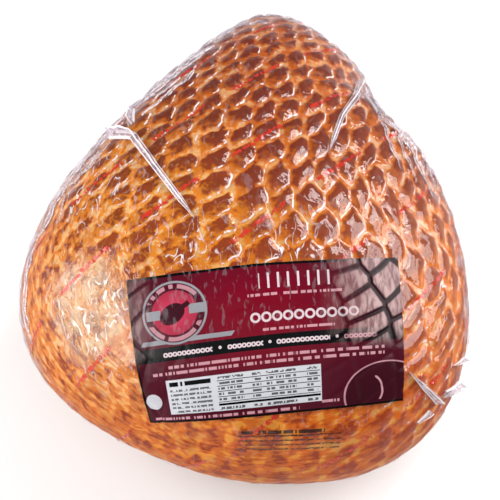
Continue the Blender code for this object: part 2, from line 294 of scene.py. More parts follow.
@dataclass
class NetCells:
    """The marks that the net pressed into the skin: long six-sided cells with grooves between."""

    chart: SkinChart
    step_across: tuple[float, float] = (0.0181, 0.0045)
    step_along: tuple[float, float] = (0.0027, -0.0162)
    cells_each_way: int = 26
    seed: int = 11
    tightening: float = 0.15
    tightening_v: float = 0.045
    tightening_length: float = 0.080
    bend: float = 1.1
    bend_limit: float = 0.14
    unevenness: float = 0.0012
    least_step: float = 0.0105
    long_direction: float = math.radians(64.0)
    squeeze: float = 0.54
    room_at_rim: float = 0.006
    faint_share: float = 0.4
    faint_slant: float = 0.8
    faint_from: float = -0.120
    clear_from: float = 0.020
    nearest: int = 4
    block: int = 6000
    twists: tuple[tuple[tuple[float, float], float, float], ...] = (
        ((0.112, 0.000), math.radians(38.0), 0.046),
        ((-0.090, -0.095), math.radians(42.0), 0.046),
    )
    centres: Array = field(init=False)
    flat_centres: Array = field(init=False)

    def __post_init__(self) -> None:
        """Place the cells: a slanted lattice, bent, tightened and slightly uneven."""
        number = np.arange(-self.cells_each_way, self.cells_each_way + 1)
        across, along = np.meshgrid(number, number, indexing="ij")
        flat = across.reshape(-1, 1) * np.array(self.step_across)
        flat = flat + along.reshape(-1, 1) * np.array(self.step_along)
        flat = flat + self.unevenness * np.random.default_rng(self.seed).uniform(-1.0, 1.0, flat.shape)
        up = (flat[:, 1] - self.tightening_v) / self.tightening_length
        tighter = 1.0 - self.tightening * np.tanh(up)
        u = flat[:, 0] * tighter
        v = flat[:, 1] + self.bend * flat[:, 0] ** 2 / (1.0 + (flat[:, 0] / self.bend_limit) ** 2)
        u, v = self.twisted(u, v, 1)
        bearing = np.arctan2(v, u) % (2.0 * np.pi)
        inside = np.hypot(u, v) < self.chart.rim_at(bearing) - self.room_at_rim
        centres = np.stack([u[inside], v[inside]], axis=1)
        centres = centres[np.argsort(np.hypot(centres[:, 0], centres[:, 1]))]
        skin = self.chart.points_at(centres[:, 0], centres[:, 1])
        kept = [0]
        for k in range(1, len(centres)):
            if np.linalg.norm(skin[kept] - skin[k], axis=1).min() > self.least_step:
                kept.append(k)
        self.centres = centres[kept]
        self.flat_centres, _ = self.round_view(self.centres[:, 0], self.centres[:, 1])

    def twisted(self, u: Array, v: Array, way: int) -> tuple[Array, Array]:
        """Turn chart points round each twist of the net.

        Args:
            u: Chart coordinate to the right, in metres.
            v: Chart coordinate towards the shank, in metres.
            way: 1 to turn them, -1 to undo it.

        Returns:
            The turned coordinates.
        """
        for (middle_u, middle_v), angle, spread in self.twists[::way]:
            across, along = u - middle_u, v - middle_v
            turn = way * angle * np.exp(-(across ** 2 + along ** 2) / (2.0 * spread ** 2))
            u = middle_u + across * np.cos(turn) - along * np.sin(turn)
            v = middle_v + across * np.sin(turn) + along * np.cos(turn)
        return u, v

    def strength(self, u: Array, v: Array) -> Array:
        """How deep the marks are at chart points: faint low on the left, clear elsewhere."""
        part = smooth_step(self.faint_slant * u + v, self.faint_from, self.clear_from)
        return self.faint_share + (1.0 - self.faint_share) * part

    def round_view(self, u: Array, v: Array) -> tuple[Array, Array]:
        """Lay chart points out as a true-angled picture with the long cells made regular.

        Args:
            u: Chart coordinate to the right, in metres.
            v: Chart coordinate towards the shank, in metres.

        Returns:
            The flat places, and the metres of skin for each unit of that flat picture.
        """
        lean, bearing = self.chart.lean_at(*self.twisted(u, v, -1))
        spread = 2.0 * np.tan(lean / 2.0)
        flat = np.stack([spread * np.cos(bearing), spread * np.sin(bearing)], axis=1)
        distance = self.chart.form.skin_distance(self.chart.directions(lean, bearing))
        scale = distance / (1.0 + np.tan(lean / 2.0) ** 2)
        along = np.array([math.cos(self.long_direction), math.sin(self.long_direction)])
        across = np.array([-along[1], along[0]])
        return np.stack([flat @ along * self.squeeze, flat @ across], axis=1), scale

    def look_up(self, u: Array, v: Array) -> CellField:
        """Find each point's cell, and how far it lies from the nearest groove.

        The groove runs where the nearest two cell centres are equally near, so the distance is
        half the difference of the squared distances over the gap between those centres.

        Args:
            u: Chart coordinate to the right, in metres.
            v: Chart coordinate towards the shank, in metres.

        Returns:
            The cells' field at the points.
        """
        flat, scale = self.round_view(u, v)
        count = len(flat)
        edge = np.zeros(count)
        cell = np.zeros(count, dtype=int)
        offset = np.zeros((count, 2))
        for start in range(0, count, self.block):
            rows = slice(start, start + self.block)
            part = flat[rows]
            squared = ((part[:, None, :] - self.flat_centres[None, :, :]) ** 2).sum(axis=2)
            near = np.argpartition(squared, self.nearest - 1, axis=1)[:, :self.nearest]
            values = np.take_along_axis(squared, near, axis=1)
            order = np.argsort(values, axis=1)
            near = np.take_along_axis(near, order, axis=1)
            values = np.take_along_axis(values, order, axis=1)
            own = self.flat_centres[near[:, 0]]
            best = np.full(len(part), np.inf)
            for other in range(1, self.nearest):
                gap = np.linalg.norm(self.flat_centres[near[:, other]] - own, axis=1)
                best = np.minimum(best, (values[:, other] - values[:, 0]) / (2.0 * gap))
            edge[rows], cell[rows], offset[rows] = best, near[:, 0], part - own
        return CellField(edge * scale, cell, offset * scale[:, None], self.strength(u, v))


@dataclass(frozen=True)
class CellField:
    """What the net's cells are at a set of points, in metres."""

    edge: Array
    cell: Array
    offset: Array
    strength: Array

    def chance(self, seed: int) -> Array:
        """One random number from 0 to 1 for each point, the same all over a cell."""
        draws = np.random.default_rng(seed).uniform(0.0, 1.0, int(self.cell.max()) + 1)
        return draws[self.cell]


@dataclass(frozen=True)
class Fold:
    """One fold of the bag: chart points, each with the crest's height and the half width."""

    course: tuple[tuple[float, float, float, float], ...]
    puffed: bool = False

    def rise(self, u: Array, v: Array) -> Array:
        """Height of the fold at chart points.

        Args:
            u: Chart coordinate to the right, in metres.
            v: Chart coordinate towards the shank, in metres.

        Returns:
            The rise in metres: the crest's height, falling evenly to 0 at the feet.
        """
        rise = np.zeros_like(u)
        points = np.stack([u, v], axis=1)
        for first, second in zip(self.course, self.course[1:]):
            start = np.array(first[:2])
            line = np.array(second[:2]) - start
            part = np.clip((points - start) @ line / (line @ line), 0.0, 1.0)
            gap = np.linalg.norm(points - (start + part[:, None] * line), axis=1)
            height = first[2] + (second[2] - first[2]) * part
            half_width = first[3] + (second[3] - first[3]) * part
            rise = np.maximum(rise, height * np.clip(1.0 - gap / half_width, 0.0, 1.0))
        return rise

    def stations(self, spacing: float) -> tuple[Array, Array]:
        """Evenly spaced places along the fold.

        Args:
            spacing: About how far apart they are, in metres.

        Returns:
            One row for each place (u, v, height, half width), and the distances walked to them.
        """
        course = np.array(self.course)
        lengths = np.linalg.norm(np.diff(course[:, :2], axis=0), axis=1)
        walked = np.concatenate([[0.0], np.cumsum(lengths)])
        wanted = np.linspace(0.0, walked[-1], int(walked[-1] / spacing) + 2)
        return np.stack([np.interp(wanted, walked, course[:, k]) for k in range(4)], axis=1), wanted


def fold(*course: tuple[float, float, float, float], puffed: bool = False) -> Fold:
    """Make a fold from places (u, v, height, half width) in chart millimetres."""
    return Fold(tuple(tuple(value * MM for value in place) for place in course), puffed)


BAG_FOLDS = (
    fold(
        (-36.2, 3.3, 1.0, 1.5), (-61.5, 39.2, 2.8, 2.1), (-81.8, 69.6, 6.0, 3.0),
        (-101.0, 78.5, 9.5, 4.2),
    ),
    fold((-87.0, 85.0, 6.0, 2.8), (-91.5, 103.0, 5.0, 2.8)),
    fold(
        (44.1, 51.0, 1.0, 1.5), (55.5, 83.7, 2.2, 1.8), (69.4, 108.9, 4.2, 2.6), (81.1, 140.9, 6.5, 3.6),
    ),
    fold((83.0, 121.5, 4.0, 2.6), (87.0, 99.0, 3.0, 2.4)),
    fold(
        (91.8, 85.0, 1.5, 5.0), (105.0, 79.0, 3.5, 8.0), (117.0, 66.0, 4.0, 8.0), (121.5, 50.0, 1.5, 5.0),
        puffed=True,
    ),
    fold((86.5, -85.0, 1.0, 1.5), (100.0, -96.0, 3.0, 2.0), (112.2, -104.9, 5.0, 2.8)),
    fold((106.5, -111.5, 3.5, 2.0), (98.1, -118.2, 1.0, 1.5)),
    fold((119.0, -101.5, 4.5, 2.6), (142.0, -100.0, 6.0, 3.0)),
    fold((124.0, -82.6, 1.0, 1.5), (142.0, -81.2, 4.0, 2.2)),
)

RIM_STRANDS = (
    fold(
        (-34.0, 167.0, 0.8, 3.0), (-49.5, 152.0, 1.1, 3.6), (-61.0, 138.0, 1.0, 3.0),
        (-73.0, 125.5, 1.2, 4.2), (-83.0, 111.0, 0.8, 2.6),
    ),
    fold(
        (-44.0, 140.0, 0.6, 1.0), (-50.0, 124.5, 0.8, 1.4), (-56.0, 118.5, 0.7, 1.1),
        (-64.0, 108.0, 0.9, 1.5), (-70.5, 102.0, 0.7, 1.1), (-80.0, 91.5, 0.6, 0.9),
    ),
    fold((-56.0, 129.0, 0.5, 0.9), (-64.0, 120.0, 0.8, 1.3), (-74.5, 106.5, 0.6, 0.9)),
    fold((-101.0, 71.0, 0.6, 1.2), (-110.5, 54.0, 0.9, 1.7), (-127.0, 40.0, 0.6, 1.2)),
    fold(
        (-111.0, 83.0, 0.8, 2.0), (-123.0, 62.5, 1.1, 3.0), (-133.0, 44.0, 1.0, 2.6),
        (-137.5, 30.0, 1.1, 3.4), (-140.0, 15.0, 1.0, 3.0), (-149.0, 1.0, 0.8, 2.2),
    ),
    fold((-132.0, 40.0, 0.5, 0.8), (-128.5, 28.0, 0.7, 1.1), (-125.5, 13.0, 0.5, 0.8)),
    fold(
        (-150.0, 3.0, 0.8, 2.2), (-154.5, -16.5, 1.0, 3.2), (-156.0, -33.0, 1.0, 2.8),
        (-156.5, -51.0, 1.0, 3.2), (-154.5, -70.0, 0.8, 2.2),
    ),
    fold(
        (89.5, 99.5, 0.6, 1.2), (101.0, 91.0, 0.9, 2.0), (111.0, 80.6, 1.0, 3.0), (120.5, 62.0, 0.9, 2.4),
        (129.0, 45.0, 0.6, 1.2),
    ),
    fold(
        (86.0, 96.5, 0.6, 1.0), (98.5, 82.5, 0.9, 1.8), (101.0, 64.0, 0.8, 1.3), (106.0, 40.0, 0.6, 1.0),
    ),
    fold((85.0, 95.0, 0.5, 0.9), (90.0, 68.0, 0.8, 1.3), (93.5, 47.0, 0.5, 0.8)),
    fold(
        (89.0, 95.0, 0.6, 1.0), (106.0, 73.5, 0.9, 2.2), (115.0, 52.0, 0.9, 1.8), (119.5, 33.0, 0.6, 1.0),
    ),
)

PUFFED_FOLDS = tuple(each for each in BAG_FOLDS if each.puffed)


def puffed_rise(u: Array, v: Array) -> Array:
    """How high the bag stands off at chart points where it is puffed out by air."""
    return np.max([each.rise(u, v) for each in PUFFED_FOLDS], axis=0)


@dataclass
class SkinGrid:
    """Square grid bent into a disc over the whole chart, finer in the middle of the shown side."""

    chart: SkinChart
    cells: NetCells
    squares: int = 304
    middle_share: float = 0.58
    long_swelling: float = 0.024
    short_swelling: float = 0.008
    long_wander: float = 1.1 * MM
    short_wander: float = 0.5 * MM
    mm_a_degree: float = 2.6
    foot_blend: float = 0.016
    u: Array = field(init=False)
    v: Array = field(init=False)
    skin: Array = field(init=False)
    outward: Array = field(init=False)
    net: CellField = field(init=False)

    def __post_init__(self) -> None:
        """Lay the grid out and read the form and the net's cells at its points."""
        side = np.linspace(-1.0, 1.0, self.squares + 1)
        a, b = np.meshgrid(side, side, indexing="ij")
        wide = np.abs(a) >= np.abs(b)
        safe_a = np.where(a == 0.0, 1.0, a)
        safe_b = np.where(b == 0.0, 1.0, b)
        radius = np.where(wide, a, b)
        angle = np.where(wide, np.pi / 4.0 * b / safe_a, np.pi / 2.0 - np.pi / 4.0 * a / safe_b)
        x, y = radius * np.cos(angle), radius * np.sin(angle)
        share = np.hypot(x, y).ravel()
        bearing = np.arctan2(y, x).ravel() % (2.0 * np.pi)
        walk = share * (self.middle_share + (1.0 - self.middle_share) * share * share)
        walk = walk * self.chart.rim_at(bearing)
        self.u, self.v = walk * np.cos(bearing), walk * np.sin(bearing)
        self.skin = self.chart.points_at(self.u, self.v)
        self.outward = self.chart.form.normals(self.skin)
        self.net = self.cells.look_up(*self.wandered())

    def wandered(self) -> tuple[Array, Array]:
        """Chart coordinates moved a little to and fro, so that grooves run unevenly.

        Returns:
            The moved coordinates to the right and towards the shank.
        """
        moved = []
        for place, seed in ((self.u, 12), (self.v, 13)):
            long_wave = soft_noise(self.skin, self.long_swelling, seed)
            short_wave = soft_noise(self.skin, self.short_swelling, seed + 2)
            moved.append(place + self.long_wander * long_wave + self.short_wander * short_wave)
        return moved[0], moved[1]

    def flow(self) -> tuple[Array, Array]:
        """Millimetres round the ham from its foot end, the same both ways, and out from the middle."""
        bearing = np.degrees(np.arctan2(self.v, self.u)) % 360.0
        return self.mm_a_degree * np.abs((bearing - 90.0) % 360.0 - 180.0), np.hypot(self.u, self.v) / MM

    def off_foot(self) -> Array:
        """0 at the flat foot, rising to 1 where the skin has left the floor."""
        return smooth_step(self.skin[:, 2], 0.0, self.foot_blend)

    def faces(self) -> list[tuple[int, ...]]:
        """Quads over the grid, facing out, and one flat face that closes the foot.

        Returns:
            Vertex numbers of each face.
        """
        row = self.squares + 1
        index = np.arange(row * row).reshape(row, row)
        quads = np.stack([index[:-1, :-1], index[1:, :-1], index[1:, 1:], index[:-1, 1:]], axis=-1)
        rim = np.concatenate([index[:-1, 0], index[-1, :-1], index[:0:-1, -1], index[0, :0:-1]])
        return [tuple(quad) for quad in quads.reshape(-1, 4).tolist()] + [tuple(rim[::-1].tolist())]

    def in_frame(self, points: Array) -> Array:
        """Points moved so that the origin lies under the middle of the ham."""
        return points + np.array(self.chart.form.to_origin)


class Maker:
    """Turns arrays into mesh objects, and stores at their vertices what the finishes read."""

    @staticmethod
    def mesh(
        name: str, points: Array, faces: list[tuple[int, ...]], crease: float = 180.0
    ) -> bpy.types.Object:
        """Make a smooth-shaded mesh object.

        Args:
            name: Name of the piece.
            points: Vertex positions in metres, one per row.
            faces: Vertex numbers of each face, counted anticlockwise from outside.
            crease: Angle in degrees above which an edge stays sharp.

        Returns:
            The object, linked to the scene.
        """
        mesh = bpy.data.meshes.new(name)
        mesh.from_pydata(points.tolist(), [], faces)
        mesh.shade_smooth()
        if crease < 180.0:
            mesh.set_sharp_from_angle(angle=math.radians(crease))
        piece = bpy.data.objects.new(name, mesh)
        bpy.context.collection.objects.link(piece)
        return piece

    @staticmethod
    def number(piece: bpy.types.Object, name: str, values: Array) -> None:
        """Store one number a vertex under a name that the finish reads."""
        stored = piece.data.attributes.new(name, "FLOAT", "POINT")
        stored.data.foreach_set("value", values.astype(np.float32))

    @staticmethod
    def colour(piece: bpy.types.Object, name: str, values: Array) -> None:
        """Store one colour a vertex under a name that the finish reads.

        Args:
            piece: The object.
            name: The stored name.
            values: Linear colours, one per row.
        """
        solid = np.concatenate([values, np.ones((len(values), 1))], axis=1).astype(np.float32)
        stored = piece.data.color_attributes.new(name, "FLOAT_COLOR", "POINT")
        stored.data.foreach_set("color", solid.ravel())

    @staticmethod
    def chart(piece: bpy.types.Object, name: str, u: Array, v: Array) -> None:
        """Store a UV map from one pair of coordinates a vertex.

        Args:
            piece: The object.
            name: The map's name.
            u: First coordinate of each vertex.
            v: Second coordinate of each vertex.
        """
        corners = np.zeros(len(piece.data.loops), dtype=np.int32)
        piece.data.loops.foreach_get("vertex_index", corners)
        pairs = np.stack([u, v], axis=1).astype(np.float32)[corners]
        piece.data.uv_layers.new(name=name).data.foreach_set("uv", pairs.ravel())


class Value:
    """A number in a material's node tree, with arithmetic."""

    def __init__(self, tree: Tree, socket: bpy.types.NodeSocket) -> None:
        """Hold the socket that gives the number."""
        self.tree = tree
        self.socket = socket

    def _math(self, operation: str, *others: Value | float) -> Value:
        """Apply one of the Math node's operations to this number and the others."""
        return self.tree.math(operation, self, *others)

    def __add__(self, other: Value | float) -> Value:
        """Sum."""
        return self._math("ADD", other)

    def __radd__(self, other: float) -> Value:
        """Sum with a plain number first."""
        return self.tree.math("ADD", other, self)

    def __sub__(self, other: Value | float) -> Value:
        """Difference."""
        return self._math("SUBTRACT", other)

    def __rsub__(self, other: float) -> Value:
        """Difference with a plain number first."""
        return self.tree.math("SUBTRACT", other, self)

    def __mul__(self, other: Value | float) -> Value:
        """Product."""
        return self._math("MULTIPLY", other)

    def __truediv__(self, other: Value | float) -> Value:
        """Quotient."""
        return self._math("DIVIDE", other)

    def __abs__(self) -> Value:
        """Size without sign."""
        return self._math("ABSOLUTE")

    def maximum(self, other: Value | float) -> Value:
        """The greater of the two."""
        return self._math("MAXIMUM", other)

    def minimum(self, other: Value | float) -> Value:
        """The lesser of the two."""
        return self._math("MINIMUM", other)

    def floor(self) -> Value:
        """The whole number below."""
        return self._math("FLOOR")

    def repeat(self, length: float) -> Value:
        """Distance from the middle of the nearest of equal lengths, from -length/2 to length/2."""
        return self._math("WRAP", length / 2.0, -length / 2.0)

    def power(self, exponent: float) -> Value:
        """This number raised to a power."""
        return self._math("POWER", exponent)

    def step(self, low: float, high: float) -> Value:
        """Smooth rise from 0 at low to 1 at high.

        Args:
            low: Where the rise starts; above high it is a fall.
            high: Where the rise ends.

        Returns:
            The mapped number.
        """
        return self.tree.output(
            "ShaderNodeMapRange",
            {"interpolation_type": "SMOOTHSTEP"},
            {"Value": self, "From Min": low, "From Max": high},
            "Result",
        )

    def between(self, low: float, high: float) -> Value:
        """1 while this number lies between the two, with soft edges, and 0 elsewhere."""
        return 1.0 - (abs(self - (low + high) / 2.0) - (high - low) / 2.0).step(-SOFT_EDGE, SOFT_EDGE)

    def within(self, full: float, none: float) -> Value:
        """1 while this number's size is below `full`, falling smoothly to 0 at `none`."""
        return 1.0 - abs(self).step(full, none)

    def chance(self) -> Value:
        """Random number from 0 to 1 that depends on this number alone."""
        settings = {"noise_dimensions": "1D"}
        return self.tree.output("ShaderNodeTexWhiteNoise", settings, {"W": self}, "Value")

    def angle(self, up: Value) -> Value:
        """Angle of the point (this number, up) round the origin, in radians."""
        return self.tree.math("ARCTAN2", up, self)


class Tint:
    """A colour in a material's node tree."""

    def __init__(self, tree: Tree, source: bpy.types.NodeSocket | Rgb) -> None:
        """Hold a socket that gives the colour, or a plain colour."""
        self.tree = tree
        self.source = source

    def over(self, top: Tint | Rgb, cover: Value | float) -> Tint:
        """Lay another colour over this one.

        Args:
            top: Colour laid over.
            cover: How much of it shows, 0 to 1.

        Returns:
            The mixed colour.
        """
        node = self.tree.node("ShaderNodeMix", {"data_type": "RGBA"}, {})
        self.tree.feed(node.inputs["Factor"], cover)
        self.tree.feed(node.inputs[6], self)
        self.tree.feed(node.inputs[7], top)
        return Tint(self.tree, node.outputs[2])

    def shaded(self, amount: Value | float) -> Tint:
        """This colour made lighter or darker by a number around 1.

        Args:
            amount: What the colour is multiplied by.

        Returns:
            The shaded colour.
        """
        node = self.tree.node("ShaderNodeVectorMath", {"operation": "SCALE"}, {})
        self.tree.feed(node.inputs[0], self)
        self.tree.feed(node.inputs["Scale"], amount)
        return Tint(self.tree, node.outputs[0])


class Tree:
    """One material's node tree."""

    def __init__(self, name: str) -> None:
        """Make an empty material of that name.

        Args:
            name: The material's name.
        """
        self.material = bpy.data.materials.new(name)
        self.material.use_nodes = True
        self.tree = self.material.node_tree
        self.tree.nodes.clear()

    def feed(self, socket: bpy.types.NodeSocket, value: object) -> None:
        """Link a value, a tint or a socket to an input, or set a constant on it.

        Args:
            socket: The input.
            value: What goes into it.
        """
        if isinstance(value, Value):
            self.tree.links.new(value.socket, socket)
        elif isinstance(value, Tint):
            self.feed(socket, value.source)
        elif isinstance(value, bpy.types.NodeSocket):
            self.tree.links.new(value, socket)
        elif isinstance(value, tuple) and len(value) == 3 and socket.type == "RGBA":
            socket.default_value = (*value, 1.0)
        else:
            socket.default_value = value

    def node(
        self, kind: str, settings: dict[str, object], values: dict[str, object]
    ) -> bpy.types.Node:
        """Make a node.

        Args:
            kind: The node's type.
            settings: Its options by name.
            values: Its inputs by name, each a constant or something to link.

        Returns:
            The node.
        """
        node = self.tree.nodes.new(kind)
        for name, setting in settings.items():
            setattr(node, name, setting)
        for name, value in values.items():
            self.feed(node.inputs[name], value)
        return node

    def output(
        self, kind: str, settings: dict[str, object], values: dict[str, object], name: str
    ) -> Value:
        """Make a node and return one of its outputs as a number."""
        return Value(self, self.node(kind, settings, values).outputs[name])

    def math(self, operation: str, *terms: Value | float) -> Value:
        """Math node of one operation over the terms.

        Args:
            operation: The node's operation.
            terms: Its inputs, in order.

        Returns:
            The result.
        """
        node = self.node("ShaderNodeMath", {"operation": operation}, {})
        for socket, term in zip(node.inputs, terms):
            self.feed(socket, term)
        return Value(self, node.outputs[0])

    def number(self, name: str) -> Value:
        """A number stored at the mesh's vertices."""
        return self.output("ShaderNodeAttribute", {"attribute_name": name}, {}, "Fac")

    def colour(self, name: str) -> Tint:
        """A colour stored at the mesh's vertices."""
        return Tint(self, self.node("ShaderNodeAttribute", {"attribute_name": name}, {}).outputs["Color"])

    def chart(self, name: str) -> tuple[Value, Value]:
        """The two coordinates of a UV map.

        Args:
            name: The map's name.

        Returns:
            Both coordinates.
        """
        uv = self.node("ShaderNodeUVMap", {"uv_map": name}, {})
        split = self.node("ShaderNodeSeparateXYZ", {}, {"Vector": uv.outputs["UV"]})
        return Value(self, split.outputs["X"]), Value(self, split.outputs["Y"])

    def place(self) -> bpy.types.NodeSocket:
        """Coordinates in the object's own frame, in metres."""
        return self.node("ShaderNodeTexCoord", {}, {}).outputs["Object"]

    def pair(self, x: Value | float, y: Value | float, z: Value | float = 0.0) -> bpy.types.NodeSocket:
        """A vector from two or three numbers."""
        return self.node("ShaderNodeCombineXYZ", {}, {"X": x, "Y": y, "Z": z}).outputs["Vector"]

    def noise(
        self,
        where: bpy.types.NodeSocket,
        scale: float = 1.0,
        detail: float = 2.0,
        rough: float = 0.5,
        swirl: float = 0.0,
    ) -> Value:
        """Make cloudy noise.

        Args:
            where: Coordinates that the noise is read at.
            scale: Swellings for each unit of those coordinates.
            detail: How many finer layers are added.
            rough: How strong the finer layers are.
            swirl: How far the coordinates are stirred.

        Returns:
            The noise, around 0.5.
        """
        values = {"Vector": where, "Scale": scale, "Detail": detail, "Roughness": rough}
        values["Distortion"] = swirl
        return self.output("ShaderNodeTexNoise", {"noise_dimensions": "3D"}, values, "Fac")

    def bump(self, height: Value, strength: float, distance: float) -> bpy.types.NodeSocket:
        """A bumped normal from a height from 0 to 1 that stands for `distance` metres."""
        values = {"Height": height, "Strength": strength, "Distance": distance}
        return self.node("ShaderNodeBump", {}, values).outputs["Normal"]

    def surface(self, **values: object) -> bpy.types.NodeSocket:
        """A Principled surface; input names are given with _ for each space."""
        named = {name.replace("_", " "): value for name, value in values.items()}
        return self.node("ShaderNodeBsdfPrincipled", {}, named).outputs["BSDF"]

    def film(self, cover: Value, **values: object) -> bpy.types.Material:
        """Finish as a Principled film that shows by `cover` and is clear for the rest.

        Args:
            cover: The share of light that the film stops.
            values: Inputs of the Principled film.

        Returns:
            The material.
        """
        mix = self.node("ShaderNodeMixShader", {}, {"Fac": cover})
        self.feed(mix.inputs[1], self.node("ShaderNodeBsdfTransparent", {}, {}).outputs["BSDF"])
        self.feed(mix.inputs[2], self.surface(**values))
        return self.finish(mix.outputs["Shader"])

    def finish(self, shader: bpy.types.NodeSocket) -> bpy.types.Material:
        """Send the shader to the output and return the material."""
        self.node("ShaderNodeOutputMaterial", {}, {"Surface": shader})
        return self.material


@dataclass(frozen=True)
class SkinZone:
    """Skin round one chart point: a cell's dark end, its golden end, the grooves, and contrast."""

    u: float
    v: float
    core: Rgb
    gold: Rgb
    groove: Rgb
    marking: float


def zone(u: float, v: float, core: Rgb, gold: Rgb, groove: Rgb, marking: float) -> SkinZone:
    """Make a zone from chart millimetres and screen colours of 0 to 255."""
    return SkinZone(u * MM, v * MM, from_screen(*core), from_screen(*gold), from_screen(*groove), marking)


SKIN_ZONES = (
    zone(10, 150, (116, 36, 4), (190, 88, 12), (232, 156, 88), 0.95),
    zone(-30, 95, (104, 34, 18), (188, 88, 20), (230, 162, 108), 0.95),
    zone(22, 50, (122, 38, 6), (198, 96, 4), (236, 160, 86), 1.0),
    zone(60, 80, (120, 42, 18), (198, 94, 14), (246, 186, 134), 1.0),
    zone(-70, 45, (132, 56, 12), (230, 134, 26), (252, 200, 136), 0.75),
    zone(-18, -15, (150, 56, 4), (228, 128, 4), (250, 184, 92), 0.85),
    zone(-95, -50, (146, 60, 6), (232, 150, 56), (252, 218, 164), 0.3),
    zone(-150, -30, (118, 36, 0), (202, 98, 0), (234, 150, 44), 0.3),
    zone(-110, -120, (130, 34, 0), (208, 96, 0), (238, 144, 24), 0.3),
    zone(-30, -140, (146, 48, 0), (212, 100, 0), (246, 152, 24), 0.35),
    zone(75, -130, (166, 56, 0), (230, 108, 0), (254, 172, 64), 0.55),
    zone(105, -20, (154, 68, 22), (230, 122, 30), (252, 200, 156), 0.9),
    zone(110, 60, (142, 62, 30), (214, 112, 38), (248, 196, 158), 0.95),
)


@dataclass(frozen=True)
class MeatFinish:
    """Browned, smoked skin: dark cells that fade through gold into pale grooves."""

    name: str = "browned_skin"
    depth: float = 0.55
    blotches_a_metre: float = 85.0
    patches_a_metre: float = 200.0
    ragged_mm: Limits = (2.4, 3.4)
    groove_mm: float = 0.2
    fade_mm: float = 2.6
    cell_least: float = 0.22
    cell_more: float = 0.76
    low_side_loss: float = 0.40
    cell_luck: float = 0.3
    unmarked: float = 0.33
    clouding: Limits = (1.1, 1.3)
    to_gold: Limits = (0.02, 0.36)
    to_core: Limits = (0.40, 0.94)
    relief: float = 0.7 * MM

    def browning(self, tree: Tree, blotch: Value, patch: Value, fleck: Value, streak: Value) -> Value:
        """How brown the skin is, from 0 in a pale groove to 1 in the dark of a cell.

        Over a ragged edge a cell gains `cell_more` on top of `cell_least`, less on its low side
        and with each cell's own luck. Where the net left little mark, one middle brown stands in
        for the cell. Blotches, patches, flecks and streaks are added, stronger where marks are few.

        Args:
            tree: The material's tree.
            blotch: Broad clouds around 0.
            patch: Smaller clouds around 0.
            fleck: Short streaks around 0.
            streak: Long streaks around 0.

        Returns:
            The browning.
        """
        marking = tree.number("marking")
        smooth = 1.0 - marking
        luck = (tree.number("cell_chance") - 0.5) * self.cell_luck
        ragged = tree.number("edge_mm") + blotch * self.ragged_mm[0] + patch * self.ragged_mm[1]
        inside = (ragged - self.groove_mm).step(0.0, self.fade_mm)
        more = self.cell_more - tree.number("low_side") * self.low_side_loss + luck
        brown = (self.cell_least + inside * more) * marking + smooth * self.unmarked
        clouds = blotch * self.clouding[0] + patch * self.clouding[1]
        brown = brown + clouds * (0.7 + smooth * 0.4)
        return brown + fleck * (0.45 + smooth * 2.2) + streak * (0.3 + smooth * 1.3)

    def material(self) -> bpy.types.Material:
        """Make the material: browning picks the colour, and patches and flecks shade it.

        Returns:
            The material.
        """
        tree = Tree(self.name)
        place = tree.place()
        flow_u, flow_v = tree.chart("flow_mm")
        blotch = tree.noise(place, self.blotches_a_metre) - 0.5
        patch = tree.noise(place, self.patches_a_metre) - 0.5
        streak = tree.noise(tree.pair(flow_u * 0.05, flow_v * 0.24), swirl=0.9) - 0.5
        fleck = tree.noise(tree.pair(flow_u * 0.13, flow_v * 0.30, 7.0), swirl=1.0) - 0.5
        brown = self.browning(tree, blotch, patch, fleck, streak)
        colour = tree.colour("groove_colour").over(tree.colour("gold_colour"), brown.step(*self.to_gold))
        colour = colour.over(tree.colour("core_colour"), brown.step(*self.to_core))
        shade = 1.0 + (tree.number("cell_chance") - 0.5) * 0.15 + patch * 0.8 + fleck * 0.6
        surface = tree.surface(
            Base_Color=colour.shaded(shade * self.depth),
            Roughness=0.5,
            Specular_IOR_Level=0.1,
            Normal=tree.bump(patch * 0.5 + streak * 0.5, 0.5, self.relief),
        )
        return tree.finish(surface)


@dataclass(frozen=True)
class RedPrint:
    """Slanted rows of short red marks all over the bag, in millimetres, broken as small print is."""

    turn: float = math.radians(40.0)
    row: float = 46.0
    run: float = 66.0
    row_shift: float = 0.42
    half_run: Limits = (20.6, 21.0)
    half_line: Limits = (1.5, 1.75)
    mark_width: float = 0.95
    mark_shift: float = 1.6
    mark_height: float = 1.5
    left_out: Limits = (0.20, 0.24)

    def ink(self, u: Value, v: Value) -> Value:
        """Where the bag has red print.

        Args:
            u: Chart millimetres to the right.
            v: Chart millimetres towards the shank.

        Returns:
            1 on the marks and 0 off them.
        """
        along = u * math.cos(self.turn) + v * math.sin(self.turn)
        across = v * math.cos(self.turn) - u * math.sin(self.turn)
        row = (across / self.row + 0.5).floor()
        here = (along + row * self.run * self.row_shift).repeat(self.run)
        height = across.repeat(self.row)
        mark = (here / self.mark_width).floor() + row * 41.0
        off_middle = abs(height + mark.chance() * self.mark_shift - self.mark_shift / 2.0)
        past = off_middle - (mark + 0.37).chance() * self.mark_height
        shown = (mark * 0.71 + 3.0).chance().step(*self.left_out)
        line = here.within(*self.half_run) * height.within(*self.half_line)
        return line * (1.0 - past.step(0.1, 0.5)) * shown


